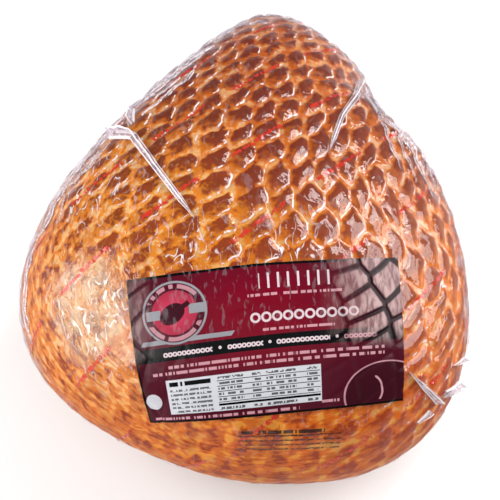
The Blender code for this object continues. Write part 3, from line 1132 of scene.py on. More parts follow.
@dataclass(frozen=True)
class DarkPrint:
    """A block of small dark lines below the label, in millimetres, with a heavier first line."""

    top: float = -121.5
    slant: float = 0.055
    middle: float = 17.0
    half_width: Limits = (30.5, 31.0)
    lines_down: float = 8.6
    half_height: Limits = (6.0, 6.1)
    row: float = 3.1
    half_line: Limits = (0.45, 0.6)
    mark_width: float = 0.8
    left_out: Limits = (0.22, 0.24)
    head_middle: float = 14.0
    head_down: float = 0.6
    head_half_width: Limits = (24.0, 24.4)
    head_half_height: Limits = (1.0, 1.2)
    head_mark_width: float = 1.1
    head_left_out: Limits = (0.16, 0.18)

    def ink(self, u: Value, v: Value) -> Value:
        """Where the bag has dark print.

        Args:
            u: Chart millimetres to the right.
            v: Chart millimetres towards the shank.

        Returns:
            1 on the marks and 0 off them.
        """
        down = (v - self.top - u * self.slant) * -1.0
        block = (u - self.middle).within(*self.half_width)
        block = block * (down - self.lines_down).within(*self.half_height)
        line = down.repeat(self.row).within(*self.half_line)
        mark = (u / self.mark_width + (down / self.row).floor() * 57.0).floor().chance()
        head = (down - self.head_down).within(*self.head_half_height)
        head = head * (u - self.head_middle).within(*self.head_half_width)
        head_mark = (u / self.head_mark_width).floor().chance().step(*self.head_left_out)
        return (block * line * mark.step(*self.left_out)).maximum(head * head_mark)


@dataclass(frozen=True)
class FilmWaves:
    """Unevenness of the film, each a cloudy noise around 0.5."""

    streak: Value
    fine: Value
    crinkle: Value
    ripple: Value
    grain: Value


@dataclass(frozen=True)
class BagFinish:
    """Clear shrunk film: a gloss over what lies under it, milky where it stands in wrinkles, with painted
    reflections: a pale rim where it turns from the camera, a glare patch and glints.
    """

    name: str = "clear_film"
    # milky is the colour of the milky film, and also of the painted reflection at its rim.
    milky: Rgb = from_screen(164, 150, 162)
    # white is the colour of the painted glints.
    white: Rgb = from_screen(222, 206, 202)
    # creamy is the colour of the cream patch, a painted glare: the left light reflected by the film left
    # of the label.
    glare_patch_colour: Rgb = from_screen(186, 164, 136)
    mirror: Rgb = (1.0, 1.0, 1.0)
    red_ink: Rgb = from_screen(176, 36, 20)
    dark_ink: Rgb = from_screen(34, 14, 6)
    red_cover: float = 0.85
    dark_cover: float = 0.8
    glint_cover: float = 0.8
    milk_most: float = 0.9
    film_ior: float = 1.46
    gloss: float = 0.9
    gloss_most: float = 0.030
    relief: float = 0.0017

    def waves(self, tree: Tree, u: Value, v: Value) -> FilmWaves:
        """Make the noises: streaks run round the ham, crinkle and grain run every way.

        Args:
            tree: The material's tree.
            u: Chart millimetres to the right.
            v: Chart millimetres towards the shank.

        Returns:
            The noises.
        """
        flow_u, flow_v = tree.chart("flow_mm")
        place = tree.place()
        return FilmWaves(
            streak=tree.noise(tree.pair(flow_u * 0.025, flow_v * 0.17)),
            fine=tree.noise(tree.pair(flow_u * 0.05, flow_v * 0.30), detail=1.0),
            crinkle=tree.noise(place, 120.0),
            ripple=tree.noise(tree.pair(u * 0.26, v * 0.12)),
            grain=tree.noise(place, 330.0, 1.0),
        )

    def milk_and_sheen(self, tree: Tree, waves: FilmWaves) -> Value:
        """How milky the wrinkled film is, with painted reflections in it.

        Haze is faint in streaks and strong in the thin lines where a noise crosses its middle; round the
        outline it is partly milky film and partly a painted reflection of the room where the film turns
        away from the camera. The band near the outline, also partly painted rim reflection, and the cream
        patch, a painted glare of the left light, are faintly milky all over, more in crinkles.

        Args:
            tree: The material's tree.
            waves: The film's noises.

        Returns:
            The share of light that the milky film stops.
        """
        lines = (waves.streak - 0.5).within(0.010, 0.030)
        thin = (waves.fine - 0.5).within(0.010, 0.036)
        haze_and_rim_sheen = waves.streak.step(0.50, 0.62) * 0.08 + lines * 0.9 + thin * 0.55
        band = 0.10 + waves.crinkle.step(0.44, 0.58) * 0.42 + waves.streak.step(0.50, 0.58) * 0.25
        glare_patch = 0.13 + waves.crinkle.step(0.42, 0.58) * 0.20 + thin * 0.24
        return tree.number("haze_and_rim_sheen") * haze_and_rim_sheen + tree.number("band") * band + tree.number("glare_patch") * glare_patch

    def strokes(self, tree: Tree, u: Value, v: Value, waves: FilmWaves) -> Value:
        """Painted glints: white strokes that stand for light reflected by the film.

        Crescents are painted highlights along the right rims of the clear cells, broken by the ripple.
        Tucks are painted highlights of small folds in the film, on the thin lines where a noise crosses
        its middle, broken in the same way.

        Args:
            tree: The material's tree.
            u: Chart millimetres to the right.
            v: Chart millimetres towards the shank.
            waves: The film's noises.

        Returns:
            1 on the painted glints and 0 off them.
        """
        rim = (tree.number("edge_mm") - 0.7).within(0.15, 0.6) * tree.number("right_side").step(0.35, 0.6)
        crescent_glints = rim * waves.ripple.step(0.44, 0.54) * (1.0 - tree.number("mottle"))
        tuck = tree.noise(tree.pair(u * 0.15, v * 0.065, 11.0), detail=1.0, swirl=0.5)
        tuck_glints = (tuck - 0.5).within(0.008, 0.028) * waves.ripple.step(0.42, 0.56)
        return crescent_glints.maximum(tuck_glints * tree.number("tuck_glint_share"))

    def material(self) -> bpy.types.Material:
        """Make the material: mirror gloss by angle, with milky wrinkles, painted rim reflection, a
        painted glare patch and painted glints, and print over it.

        Returns:
            The material.
        """
        tree = Tree(self.name)
        u, v = tree.chart("skin_mm")
        waves = self.waves(tree, u, v)
        strokes = self.strokes(tree, u, v, waves)
        milk_and_sheen = (self.milk_and_sheen(tree, waves) + strokes * self.glint_cover).minimum(self.milk_most)
        red = RedPrint().ink(u, v) * self.red_cover
        dark = DarkPrint().ink(u, v) * self.dark_cover
        solid = milk_and_sheen.maximum(red).maximum(dark)
        tiny = 0.0001
        fresnel = tree.output("ShaderNodeFresnel", {}, {"IOR": self.film_ior}, "Fac")
        gloss = (fresnel * self.gloss).minimum(self.gloss_most) * tree.number("shine")
        cover = solid + (1.0 - solid) * gloss
        metal = (1.0 - solid) * gloss / (cover + tiny)
        ink = Tint(tree, self.milky).over(self.glare_patch_colour, tree.number("glare_patch")).over(self.white, strokes)
        ink = ink.over(self.red_ink, (red / (solid + tiny)).minimum(1.0))
        ink = ink.over(self.dark_ink, (dark / (solid + tiny)).minimum(1.0))
        rough = waves.streak * 0.4 + waves.fine * 0.2 + waves.crinkle * 0.45 + waves.grain * 0.16
        rough = rough + waves.ripple * (0.1 + tree.number("mottle") * 0.8)
        return tree.film(
            cover,
            Base_Color=ink.over(self.mirror, metal),
            Metallic=metal,
            Roughness=0.06,
            Normal=tree.bump(rough, 0.55, self.relief),
        )


@dataclass(frozen=True)
class FoldFinish:
    """Film folded on itself: milky and greyish, with white lines along the crest and the feet."""

    name: str = "folded_film"
    white: Rgb = from_screen(222, 216, 220)
    grey: Rgb = from_screen(164, 150, 162)
    crest: Limits = (0.08, 0.24)
    feet: Limits = (0.72, 0.86)
    most: float = 0.95
    relief: float = 0.0012

    def material(self) -> bpy.types.Material:
        """Make the material: the bright lines cover most, and a strand is thinner and broken.

        Returns:
            The material.
        """
        tree = Tree(self.name)
        across, along = tree.chart("fold_mm")
        wave = tree.noise(tree.pair(across * 0.5, along * 0.12), 1.0, 3.0, 0.6)
        crinkle = tree.noise(tree.place(), 420.0, 3.0, 0.6)
        off_line = abs(across + (wave - 0.5) * 0.5)
        lines = (1.0 - off_line.step(*self.crest)).maximum(off_line.step(*self.feet))
        bright = lines.maximum(crinkle.step(0.55, 0.68) * 0.7)
        cover = (bright * 0.55 + 0.34 + (wave - 0.5) * 0.5).minimum(self.most)
        broken = tree.number("strand") * (0.25 + crinkle.step(0.46, 0.58) * 0.55)
        return tree.film(
            cover * (1.0 - broken),
            Base_Color=Tint(tree, self.grey).over(self.white, bright),
            Roughness=0.14,
            Specular_IOR_Level=0.6,
            Normal=tree.bump(wave * 0.5 + crinkle * 0.5, 0.5, self.relief),
        )


class Row(Enum):
    """Kinds of rows of plain marks that stand where a label has print."""

    SMALL = "small broken dashes"
    ROUND = "small rings"
    TALL = "upright strokes"


@dataclass(frozen=True)
class Box:
    """An upright box on the label, in millimetres from its top left corner."""

    left: float
    right: float
    top: float
    bottom: float

    def cover(self, x: Value, y: Value) -> Value:
        """1 inside the box and 0 outside it.

        Args:
            x: Millimetres from the label's left edge.
            y: Millimetres from its top edge.

        Returns:
            The share of ink.
        """
        wide = abs(x - (self.left + self.right) / 2.0) - (self.right - self.left) / 2.0
        tall = abs(y - (self.top + self.bottom) / 2.0) - (self.bottom - self.top) / 2.0
        return 1.0 - wide.maximum(tall).step(-SOFT_EDGE, SOFT_EDGE)


@dataclass(frozen=True)
class Oval:
    """An oval on the label: its middle, half width and half height, in millimetres."""

    across: float
    down: float
    wide: float
    tall: float

    def far(self, x: Value, y: Value) -> Value:
        """Distance from the middle of the oval, 1 on its edge."""
        part_x, part_y = (x - self.across) / self.wide, (y - self.down) / self.tall
        return (part_x.power(2.0) + part_y.power(2.0)).power(0.5)

    def disc(self, x: Value, y: Value, full: float, none: float) -> Value:
        """1 inside the oval, falling to 0 between two distances from its middle."""
        return 1.0 - self.far(x, y).step(full, none)


@dataclass(frozen=True)
class MarkRow:
    """One row of marks on the label, in millimetres from its top left corner."""

    kind: Row
    left: float
    right: float
    middle: float
    height: float
    colour: Rgb

    def ink(self, x: Value, y: Value) -> Value:
        """Where the row has ink.

        Args:
            x: Millimetres from the label's left edge.
            y: Millimetres from its top edge.

        Returns:
            1 on the marks and 0 off them.
        """
        half = self.height / 2.0
        bar = Box(self.left, self.right, self.middle - half, self.middle + half).cover(x, y)
        if self.kind is Row.TALL:
            return bar * (x - self.left).repeat(self.height * 0.62).within(0.5, 0.75)
        if self.kind is Row.ROUND:
            pitch = self.height * 1.02
            across = (x - self.left - pitch / 2.0).repeat(pitch)
            far = (across.power(2.0) + (y - self.middle).power(2.0)).power(0.5)
            thick = 0.06 * self.height + 0.16
            return bar * (far - self.height * 0.38).within(thick, thick + 0.25)
        pitch = self.height * 0.55
        return bar * ((x - self.left) / pitch + self.middle).floor().chance().step(0.24, 0.28)


@dataclass(frozen=True)
class LabelPrint:
    """Glossy print: a crimson field, a dark band, a badge, a ruled table and plain marks."""

    name: str = "label_print"
    width: float = 154.0
    height: float = 87.0
    pale: Rgb = from_screen(226, 205, 210)
    rose: Rgb = from_screen(206, 150, 160)
    black: Rgb = from_screen(4, 6, 8)
    silver: Rgb = from_screen(150, 150, 156)
    white: Rgb = from_screen(214, 214, 220)
    wine: Rgb = from_screen(60, 12, 26)
    crimson: Rgb = from_screen(122, 6, 32)
    burgundy: Rgb = from_screen(78, 14, 32)
    blush: Rgb = from_screen(214, 62, 92)
    # Painted highlight on the raised facets and painted shadow in the grooves, near the label's ends.
    facet_highlight: Rgb = from_screen(214, 178, 176)
    groove_shadow: Rgb = from_screen(30, 4, 12)
    field: Oval = Oval(70.0, 30.0, 62.0, 40.0)
    low_disc: Oval = Oval(143.5, 81.0, 26.0, 19.5)
    curl: Oval = Oval(132.0, 78.5, 8.5, 9.5)
    curl_part: Box = Box(136.0, 142.0, 70.0, 84.0)
    band: Box = Box(0.0, 154.0, 41.6, 49.4)
    ribbon: Box = Box(36.0, 88.0, 37.2, 39.8)
    ribbon_slant: float = 0.8
    dots: tuple[float, ...] = (49.3, 77.3, 115.0)
    seal: Oval = Oval(6.6, 73.0, 5.2, 5.0)
    margins: tuple[float, float, float] = (1.3, 1.0, 0.9)
    badge_disc: Oval = Oval(25.5, 22.6, 18.2, 18.2)
    badge_bars: tuple[Box, Box] = (Box(9.6, 17.6, 20.4, 25.8), Box(33.6, 43.4, 18.8, 24.4))
    badge_ham: Oval = Oval(-1.5, 0.0, 7.6, 5.6)
    badge_bone: Box = Box(4.0, 9.5, -1.4, 1.4)
    table_sheet: Box = Box(16.2, 105.0, 60.6, 81.6)
    table_head: Box = Box(18.0, 42.5, 62.0, 64.6)
    table_text: Box = Box(18.0, 42.5, 66.0, 81.0)
    table_columns: tuple[Limits, ...] = ((46.5, 61.0), (66.0, 71.0), (74.0, 91.0), (97.0, 103.0))
    text_pitch: float = 2.6
    ruled_pitch: float = 3.1

    def rows(self) -> tuple[MarkRow, ...]:
        """Every row of marks outside the table.

        Returns:
            The rows, in millimetres from the label's top left corner.
        """
        return (
            MarkRow(Row.TALL, 73.0, 116.0, 10.5, 9.0, self.pale),
            MarkRow(Row.SMALL, 66.0, 120.0, 18.6, 1.6, self.rose),
            MarkRow(Row.ROUND, 67.0, 128.0, 31.5, 6.0, self.pale),
            MarkRow(Row.SMALL, 71.0, 114.0, 38.6, 1.5, self.rose),
            MarkRow(Row.ROUND, 17.0, 45.0, 46.0, 2.6, self.pale),
            MarkRow(Row.ROUND, 53.5, 73.5, 46.0, 2.6, self.pale),
            MarkRow(Row.ROUND, 81.0, 111.0, 46.0, 2.6, self.pale),
            MarkRow(Row.ROUND, 119.0, 138.0, 46.0, 2.6, self.rose),
            MarkRow(Row.SMALL, 19.0, 142.0, 53.3, 1.7, self.rose),
            MarkRow(Row.SMALL, 9.0, 142.0, 56.7, 1.7, self.rose),
            MarkRow(Row.SMALL, 5.0, 92.0, 84.4, 1.6, self.rose),
            MarkRow(Row.SMALL, 105.0, 115.0, 82.0, 1.6, self.rose),
        )

    def ground(self, tree: Tree, x: Value, y: Value) -> Tint:
        """The coloured field, with the low disc at the right, the dark band and the ribbon.

        Args:
            tree: The material's tree.
            x: Millimetres from the label's left edge.
            y: Millimetres from its top edge.

        Returns:
            The print's ground.
        """
        colour = Tint(tree, self.burgundy).over(self.crimson, self.field.disc(x, y, 0.2, 1.25))
        colour = colour.over(self.burgundy, y.step(56.0, 74.0) * 0.55)
        colour = colour.over(self.wine, x.step(9.0, 2.0) * 0.6)
        colour = colour.over(self.wine, self.low_disc.disc(x, y, 0.98, 1.0))
        colour = colour.over(self.rose, (self.low_disc.far(x, y) - 0.98).within(0.012, 0.028) * 0.9)
        curl_line = (self.curl.far(x, y) - 1.0).within(0.04, 0.09) * self.curl_part.cover(x, y)
        colour = colour.over(self.rose, curl_line)
        colour = colour.over(self.black, self.band.cover(x, y))
        return colour.over(self.silver, self.ribbon.cover(x + y * self.ribbon_slant, y))

    def table(self, x: Value, y: Value, under: Tint) -> Tint:
        """The white ruled table: a column of text lines on the left and ruled rows on the right.

        Args:
            x: Millimetres from the label's left edge.
            y: Millimetres from its top edge.
            under: The print so far.

        Returns:
            The print with it laid over.
        """
        colour = under.over(self.white, self.table_sheet.cover(x, y))
        dashes = (x / 0.75 + (y / self.text_pitch).floor() * 37.0).floor().chance().step(0.24, 0.3)
        head = self.table_head.cover(x, y) * (x / 1.3).floor().chance().step(0.12, 0.14)
        lines = self.table_text.cover(x, y) * (y - 67.2).repeat(self.text_pitch).within(0.55, 0.75)
        colour = colour.over(self.black, head.maximum(lines * dashes * 0.8))
        columns = x.between(*self.table_columns[0])
        for limits in self.table_columns[1:]:
            columns = columns.maximum(x.between(*limits))
        rows = y.between(61.0, 76.6) * (y - 62.4).repeat(self.ruled_pitch).within(0.55, 0.75)
        rows = rows.maximum(y.between(79.4, 80.9))
        colour = colour.over(self.black, columns * rows * dashes * 0.85)
        rules = y.between(63.3, 76.6) * (y - 64.0).repeat(self.ruled_pitch).within(0.12, 0.3)
        rules = rules.maximum(y.between(77.2, 78.5))
        return colour.over(self.black, rules * x.between(46.0, 104.4))

    def badge(self, x: Value, y: Value, under: Tint) -> Tint:
        """A round badge: rose disc, dark band with a ring of marks, silver rim and a plain ham.

        Args:
            x: Millimetres from the label's left edge.
            y: Millimetres from its top edge.
            under: The print so far.

        Returns:
            The print with it laid over.
        """
        across, down = x - self.badge_disc.across, y - self.badge_disc.down
        far = self.badge_disc.far(x, y)
        colour = under.over(self.burgundy, 1.0 - far.step(0.99, 1.01))
        marks = (across.angle(down) * 6.4).floor().chance().step(0.3, 0.34)
        ring = (far - 0.83).within(0.055, 0.075) * marks
        colour = colour.over(self.rose, ring * abs(down).step(6.0, 7.0) * 0.8)
        lighter = 0.55 + (1.0 - far.step(0.0, 0.7)) * 0.4
        colour = colour.over(self.blush, (1.0 - far.step(0.68, 0.72)) * lighter)
        colour = colour.over(self.silver, (far - 0.965).within(0.022, 0.045))
        for bar in self.badge_bars:
            colour = colour.over(self.silver, bar.cover(x, y))
        lean_x, lean_y = across * 0.86 - down * 0.5, across * 0.5 + down * 0.86
        ham = self.badge_ham.disc(lean_x, lean_y, 0.93, 1.03)
        return colour.over(self.wine, ham.maximum(self.badge_bone.cover(lean_x, lean_y)))

    def painted_end_light(self, tree: Tree, x: Value, y: Value, under: Tint) -> Tint:
        """The print with a painted broken sheen, painted highlights on the raised facets and painted
        shadows over the grooves near both ends.

        Args:
            tree: The material's tree.
            x: Millimetres from the label's left edge.
            y: Millimetres from its top edge.
            under: The print so far.

        Returns:
            The print with painted light and shade.
        """
        sunk = tree.number("sunk")
        # Painted light and shade near both ends of the label: the right end fully, the left end faintly.
        painted_end_light = x.step(104.0, 140.0) * (1.0 - y.step(40.0, 56.0))
        painted_end_light = painted_end_light + x.step(16.0, 4.0) * (1.0 - y.step(38.0, 52.0)) * 0.36
        sheen = tree.noise(tree.pair(x * 0.34, y * 0.11), swirl=0.6)
        # Painted sheen: pale silver streaks over the upper part stand for light reflected by the glossy
        # label.
        colour = under.over(self.silver, sheen.step(0.56, 0.66) * (1.0 - y.step(30.0, 44.0)) * 0.22)
        # Painted highlights on the raised facets here, and painted shadows over the grooves below.
        lit_facet = (1.0 - sunk).step(0.25, 0.8) * (0.28 + sheen.step(0.36, 0.62) * 0.52)
        colour = colour.over(self.facet_highlight, painted_end_light * lit_facet)
        return colour.over(self.groove_shadow, painted_end_light * sunk.step(0.30, 0.62) * 0.92)

    def material(self) -> bpy.types.Material:
        """Make the material: the ground, then the badge, marks, table, seal, edge, and painted sheen,
        highlights and shadows.

        Returns:
            The material.
        """
        tree = Tree(self.name)
        x, y = tree.chart("print_mm")
        colour = self.badge(x, y, self.ground(tree, x, y))
        for row in self.rows():
            colour = colour.over(row.colour, row.ink(x, y))
        for dot in self.dots:
            colour = colour.over(self.pale, Oval(dot, 45.6, 0.9, 0.9).disc(x, y, 0.9, 1.1))
        colour = self.table(x, y, colour)
        colour = colour.over(self.white, self.seal.disc(x, y, 0.97, 1.03) * 0.85)
        top, bottom, left = self.margins
        inset = (y - top).minimum(self.height - bottom - y).minimum(x - left)
        colour = self.painted_end_light(tree, x, y, colour.over(self.black, 1.0 - inset.step(0.0, 0.5)))
        place = tree.place()
        cloud = tree.noise(place, 60.0)
        surface = tree.surface(
            Base_Color=colour.shaded(0.54 + cloud * 0.12),
            Roughness=0.24,
            Specular_IOR_Level=0.09,
            Normal=tree.bump(cloud * 0.4 + tree.noise(place, 240.0, 3.0, 0.55) * 0.6, 0.35, 0.0009),
        )
        return tree.finish(surface)


@dataclass
class Meat:
    """The meat inside the bag, with the net's relief and the colours of its smoked skin."""

    grid: SkinGrid
    groove_depth: float = 0.7 * MM
    groove_width: float = 1.7 * MM
    dome_depth: float = 1.3 * MM
    dome_reach: float = 6.0 * MM
    sink: float = 0.45 * MM
    lift_off: float = 0.8 * MM
    groove_steepness: float = 1.3
    lump_height: float = 0.15 * MM
    lump_length: float = 0.030
    foot_sink: float = 0.3 * MM
    zone_spread: float = 0.040
    zone_wander: float = 0.012
    zone_swelling: float = 0.05
    half_cell: float = 6.5 * MM

    def height(self, net: CellField, points: Array) -> Array:
        """Height of the meat over the smooth form: domed cells, narrow grooves and soft lumps.

        Args:
            net: The cells at the points.
            points: The points on the smooth form.

        Returns:
            Heights in metres, below 0 everywhere.
        """
        groove = np.exp(-((net.edge / self.groove_width) ** self.groove_steepness))
        return self.dome(net, points) - self.sink - self.groove_depth * net.strength ** 2 * groove

    def dome(self, net: CellField, points: Array) -> Array:
        """Height of the cells' domes and the soft lumps, which meat and film share.

        Args:
            net: The cells at the points.
            points: The points on the smooth form.

        Returns:
            Heights in metres.
        """
        dome = (1.0 - np.clip(net.edge / self.dome_reach, 0.0, 1.0)) ** 2
        lumps = self.lump_height * (soft_noise(points, self.lump_length, 5) - 1.0)
        return lumps - self.dome_depth * net.strength ** 2 * dome

    def zone_shares(self) -> Array:
        """Blend of the zones at each vertex by nearness, one row a vertex.

        Returns:
            Shares of the zones, which add up to 1 in each row.
        """
        noises = [soft_noise(self.grid.skin, self.zone_swelling, seed) for seed in (21, 22)]
        places = np.stack([self.grid.u, self.grid.v], axis=1)
        places = places + self.zone_wander * np.stack(noises, axis=1)
        centres = np.array([(each.u, each.v) for each in SKIN_ZONES])
        gaps = ((places[:, None, :] - centres[None, :, :]) ** 2).sum(axis=2)
        shares = np.exp(-(gaps - gaps.min(axis=1, keepdims=True)) / (2.0 * self.zone_spread ** 2))
        return shares / shares.sum(axis=1, keepdims=True)

    def build(self) -> bpy.types.Object:
        """Build and dress the meat.

        Returns:
            The meat.
        """
        grid, net = self.grid, self.grid.net
        off_foot = grid.off_foot()
        rise = self.height(net, grid.skin) * off_foot - self.foot_sink * (1.0 - off_foot)
        points = grid.skin + grid.outward * rise[:, None]
        points[:, 2] = np.maximum(points[:, 2], self.lift_off)
        piece = Maker.mesh("ham_meat", grid.in_frame(points), grid.faces())
        shares = self.zone_shares()
        for part in ("core", "gold", "groove"):
            tones = np.array([getattr(each, part) for each in SKIN_ZONES])
            Maker.colour(piece, f"{part}_colour", shares @ tones)
        Maker.number(piece, "marking", shares @ np.array([each.marking for each in SKIN_ZONES]))
        Maker.number(piece, "edge_mm", net.edge / MM)
        Maker.number(piece, "cell_chance", net.chance(3))
        Maker.number(piece, "low_side", np.clip(-net.offset[:, 0] / self.half_cell, -1.0, 1.0))
        Maker.chart(piece, "flow_mm", *grid.flow())
        piece.data.materials.append(MeatFinish().material())
        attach(piece, "root")
        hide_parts("bagged_ham")
        return piece


@dataclass
class ClearBag:
    """The shrunk bag: clear film over the meat, wrinkled round the sides and puffed in one place."""

    grid: SkinGrid
    sink: float = 0.2 * MM
    groove_sag: float = 0.4 * MM
    groove_width: float = 2.2 * MM
    side_flattening: float = 0.4
    wrinkle_height: float = 0.5 * MM
    wrinkle_length: float = 0.011
    wrinkle_stretch: float = 0.42
    over_meat: float = 0.15 * MM
    most: float = 0.8 * MM
    half_cell: float = 7.0 * MM
    toward_camera: tuple[float, float, float] = (0.0, -0.574, 0.819)
    side_limits: Limits = (0.62, 0.12)
    outer_limits: Limits = (0.52, 0.10)
    band_limits: Limits = (0.42, 0.20)
    behind_limits: Limits = (0.12, -0.12)
    haze_and_sheen_bearings: tuple[float, ...] = (0, 30, 60, 85, 110, 150, 190, 220, 260, 310, 340, 360)
    haze_and_sheen_strengths: tuple[float, ...] = (0.65, 0.85, 0.95, 0.8, 1.9, 1.8, 1.0, 0.15, 0.03, 0.2, 0.6, 0.65)
    haze_and_sheen_most: float = 1.5
    band_most: float = 1.2
    # Middle and reach of the cream patch, a painted glare of the left light on the film.
    glare_patch_middle: tuple[float, float] = (-0.100, -0.0485)
    glare_patch_reach: tuple[float, float] = (0.026, 0.032)
    low_shine: float = 0.35
    # Painted tuck highlights: their least share, and the places where they gather.
    tuck_least: float = 0.12
    tuck_places: tuple[tuple[float, float, float], ...] = (
        (-0.090, -0.055, 0.0272),
        (-0.040, -0.028, 0.0224),
        (0.020, -0.020, 0.0176),
        (-0.105, 0.030, 0.0240),
    )

    def height(self, meat: Meat, facing: Array, streaks: Array) -> Array:
        """Height of the film over the smooth form.

        The film follows the meat's domes, less so round the sides, and sags into the grooves.
        It wrinkles round the sides, keeps clear of the meat and bulges where air puffs it out.

        Args:
            meat: The meat that the film has to clear.
            facing: How far each point faces the camera, from -1 to 1.
            streaks: Noise that runs round the ham, from about -1 to 1.

        Returns:
            Heights in metres.
        """
        net, skin = self.grid.net, self.grid.skin
        side = smooth_step(facing, *self.side_limits)
        sag = self.groove_sag * net.strength ** 2 * np.exp(-((net.edge / self.groove_width) ** 2))
        height = meat.dome(net, skin) * (1.0 - self.side_flattening * side) - self.sink - sag
        height = height + self.wrinkle_height * side * streaks
        height = np.maximum(height, meat.height(net, skin) + self.over_meat)
        height = np.minimum(height, self.most)
        return height * self.grid.off_foot() + puffed_rise(self.grid.u, self.grid.v)

    def tuck_glint_share(self) -> Array:
        """Share of the painted highlights of small tucks in the film: many left of the label and above
        it, few elsewhere.

        Returns:
            The share at each point, 0 to 1.
        """
        grid = self.grid
        share = self.tuck_least * np.ones(len(grid.u))
        for u, v, reach in self.tuck_places:
            squared = (grid.u - u) ** 2 + (grid.v - v) ** 2
            share = np.maximum(share, np.exp(-squared / (2.0 * reach ** 2)))
        return share

    def shares(self, facing: Array, streaks: Array) -> dict[str, Array]:
        """Work out what the film's finish reads at each point.

        Args:
            facing: How far each point faces the camera, from -1 to 1.
            streaks: Noise that runs round the ham, from about -1 to 1.

        Returns:
            By name: haze round the outline (milky film and painted rim reflection), the milky band
                further out (also partly painted rim reflection), the cream patch left of the label (a
                painted glare of the left light), how much the film shines, how plain the cells are, and
                the share of painted tuck highlights.
        """
        grid = self.grid
        bearing = np.degrees(np.arctan2(grid.v, grid.u)) % 360.0
        strength = np.interp(bearing, self.haze_and_sheen_bearings, self.haze_and_sheen_strengths)
        patches = 0.75 + 0.25 * soft_noise(grid.skin, 0.045, 41)
        behind = smooth_step(facing, *self.behind_limits)
        # Haze and band rise where the film turns away from the camera: partly loose milky film, partly a
        # painted reflection of the room at the rim.
        haze_and_rim_sheen = np.clip(smooth_step(facing, *self.outer_limits) * strength * patches, 0.0, self.haze_and_sheen_most)
        band = smooth_step(facing + 0.06 * streaks, *self.band_limits)
        band = band * np.minimum(strength, self.band_most) * (0.5 + 0.5 * patches)
        right = (grid.u - self.glare_patch_middle[0]) / self.glare_patch_reach[0]
        up = (grid.v - self.glare_patch_middle[1]) / self.glare_patch_reach[1]
        glare_patch = smooth_step(np.hypot(right, up) + 0.16 * soft_noise(grid.skin, 0.020, 51), 1.25, 0.55)
        upward = smooth_step(grid.outward[:, 2], 0.15, 0.60)
        return {
            "haze_and_rim_sheen": haze_and_rim_sheen * (1.0 - 0.65 * behind),
            "band": band * (1.0 - 0.95 * behind),
            "glare_patch": glare_patch,
            "shine": np.maximum(self.low_shine + (1.0 - self.low_shine) * upward, glare_patch),
            "mottle": 1.0 - smooth_step(grid.net.strength, 0.4, 0.9),
            "tuck_glint_share": self.tuck_glint_share(),
        }

    def build(self, meat: Meat) -> bpy.types.Object:
        """Build and dress the bag.

        Args:
            meat: The meat that the film has to clear.

        Returns:
            The bag's film.
        """
        grid, net = self.grid, self.grid.net
        facing = grid.outward @ np.array(self.toward_camera)
        flow, walk = grid.flow()
        across_streaks = np.stack([flow * self.wrinkle_stretch * MM, walk * MM], axis=1)
        streaks = soft_noise(across_streaks, self.wrinkle_length, 31)
        points = grid.skin + grid.outward * self.height(meat, facing, streaks)[:, None]
        points[:, 2] = np.maximum(points[:, 2], 0.0)
        piece = Maker.mesh("clear_bag", grid.in_frame(points), grid.faces())
        for name, share in self.shares(facing, streaks).items():
            Maker.number(piece, name, share)
        Maker.number(piece, "edge_mm", net.edge / MM)
        # right_side places the painted crescent glints on the right rims of the cells.
        Maker.number(piece, "right_side", np.clip(-net.offset[:, 1] / self.half_cell, -1.0, 1.0))
        Maker.chart(piece, "skin_mm", grid.u / MM, grid.v / MM)
        Maker.chart(piece, "flow_mm", flow, walk)
        piece.data.materials.append(BagFinish().material())
        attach(piece, "root")
        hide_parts("bagged_ham")
        return piece


def waver(walked: Array, number: int, waves: Waves) -> Array:
    """Sum of sine waves along a fold.

    Args:
        walked: Metres walked along the fold.
        number: The fold's number, which shifts the waves.
        waves: Size, length of one radian in metres and shift by number, for each wave.

    Returns:
        The sum at each place.
    """
    return sum(size * np.sin(walked / length + shift * number) for size, length, shift in waves)


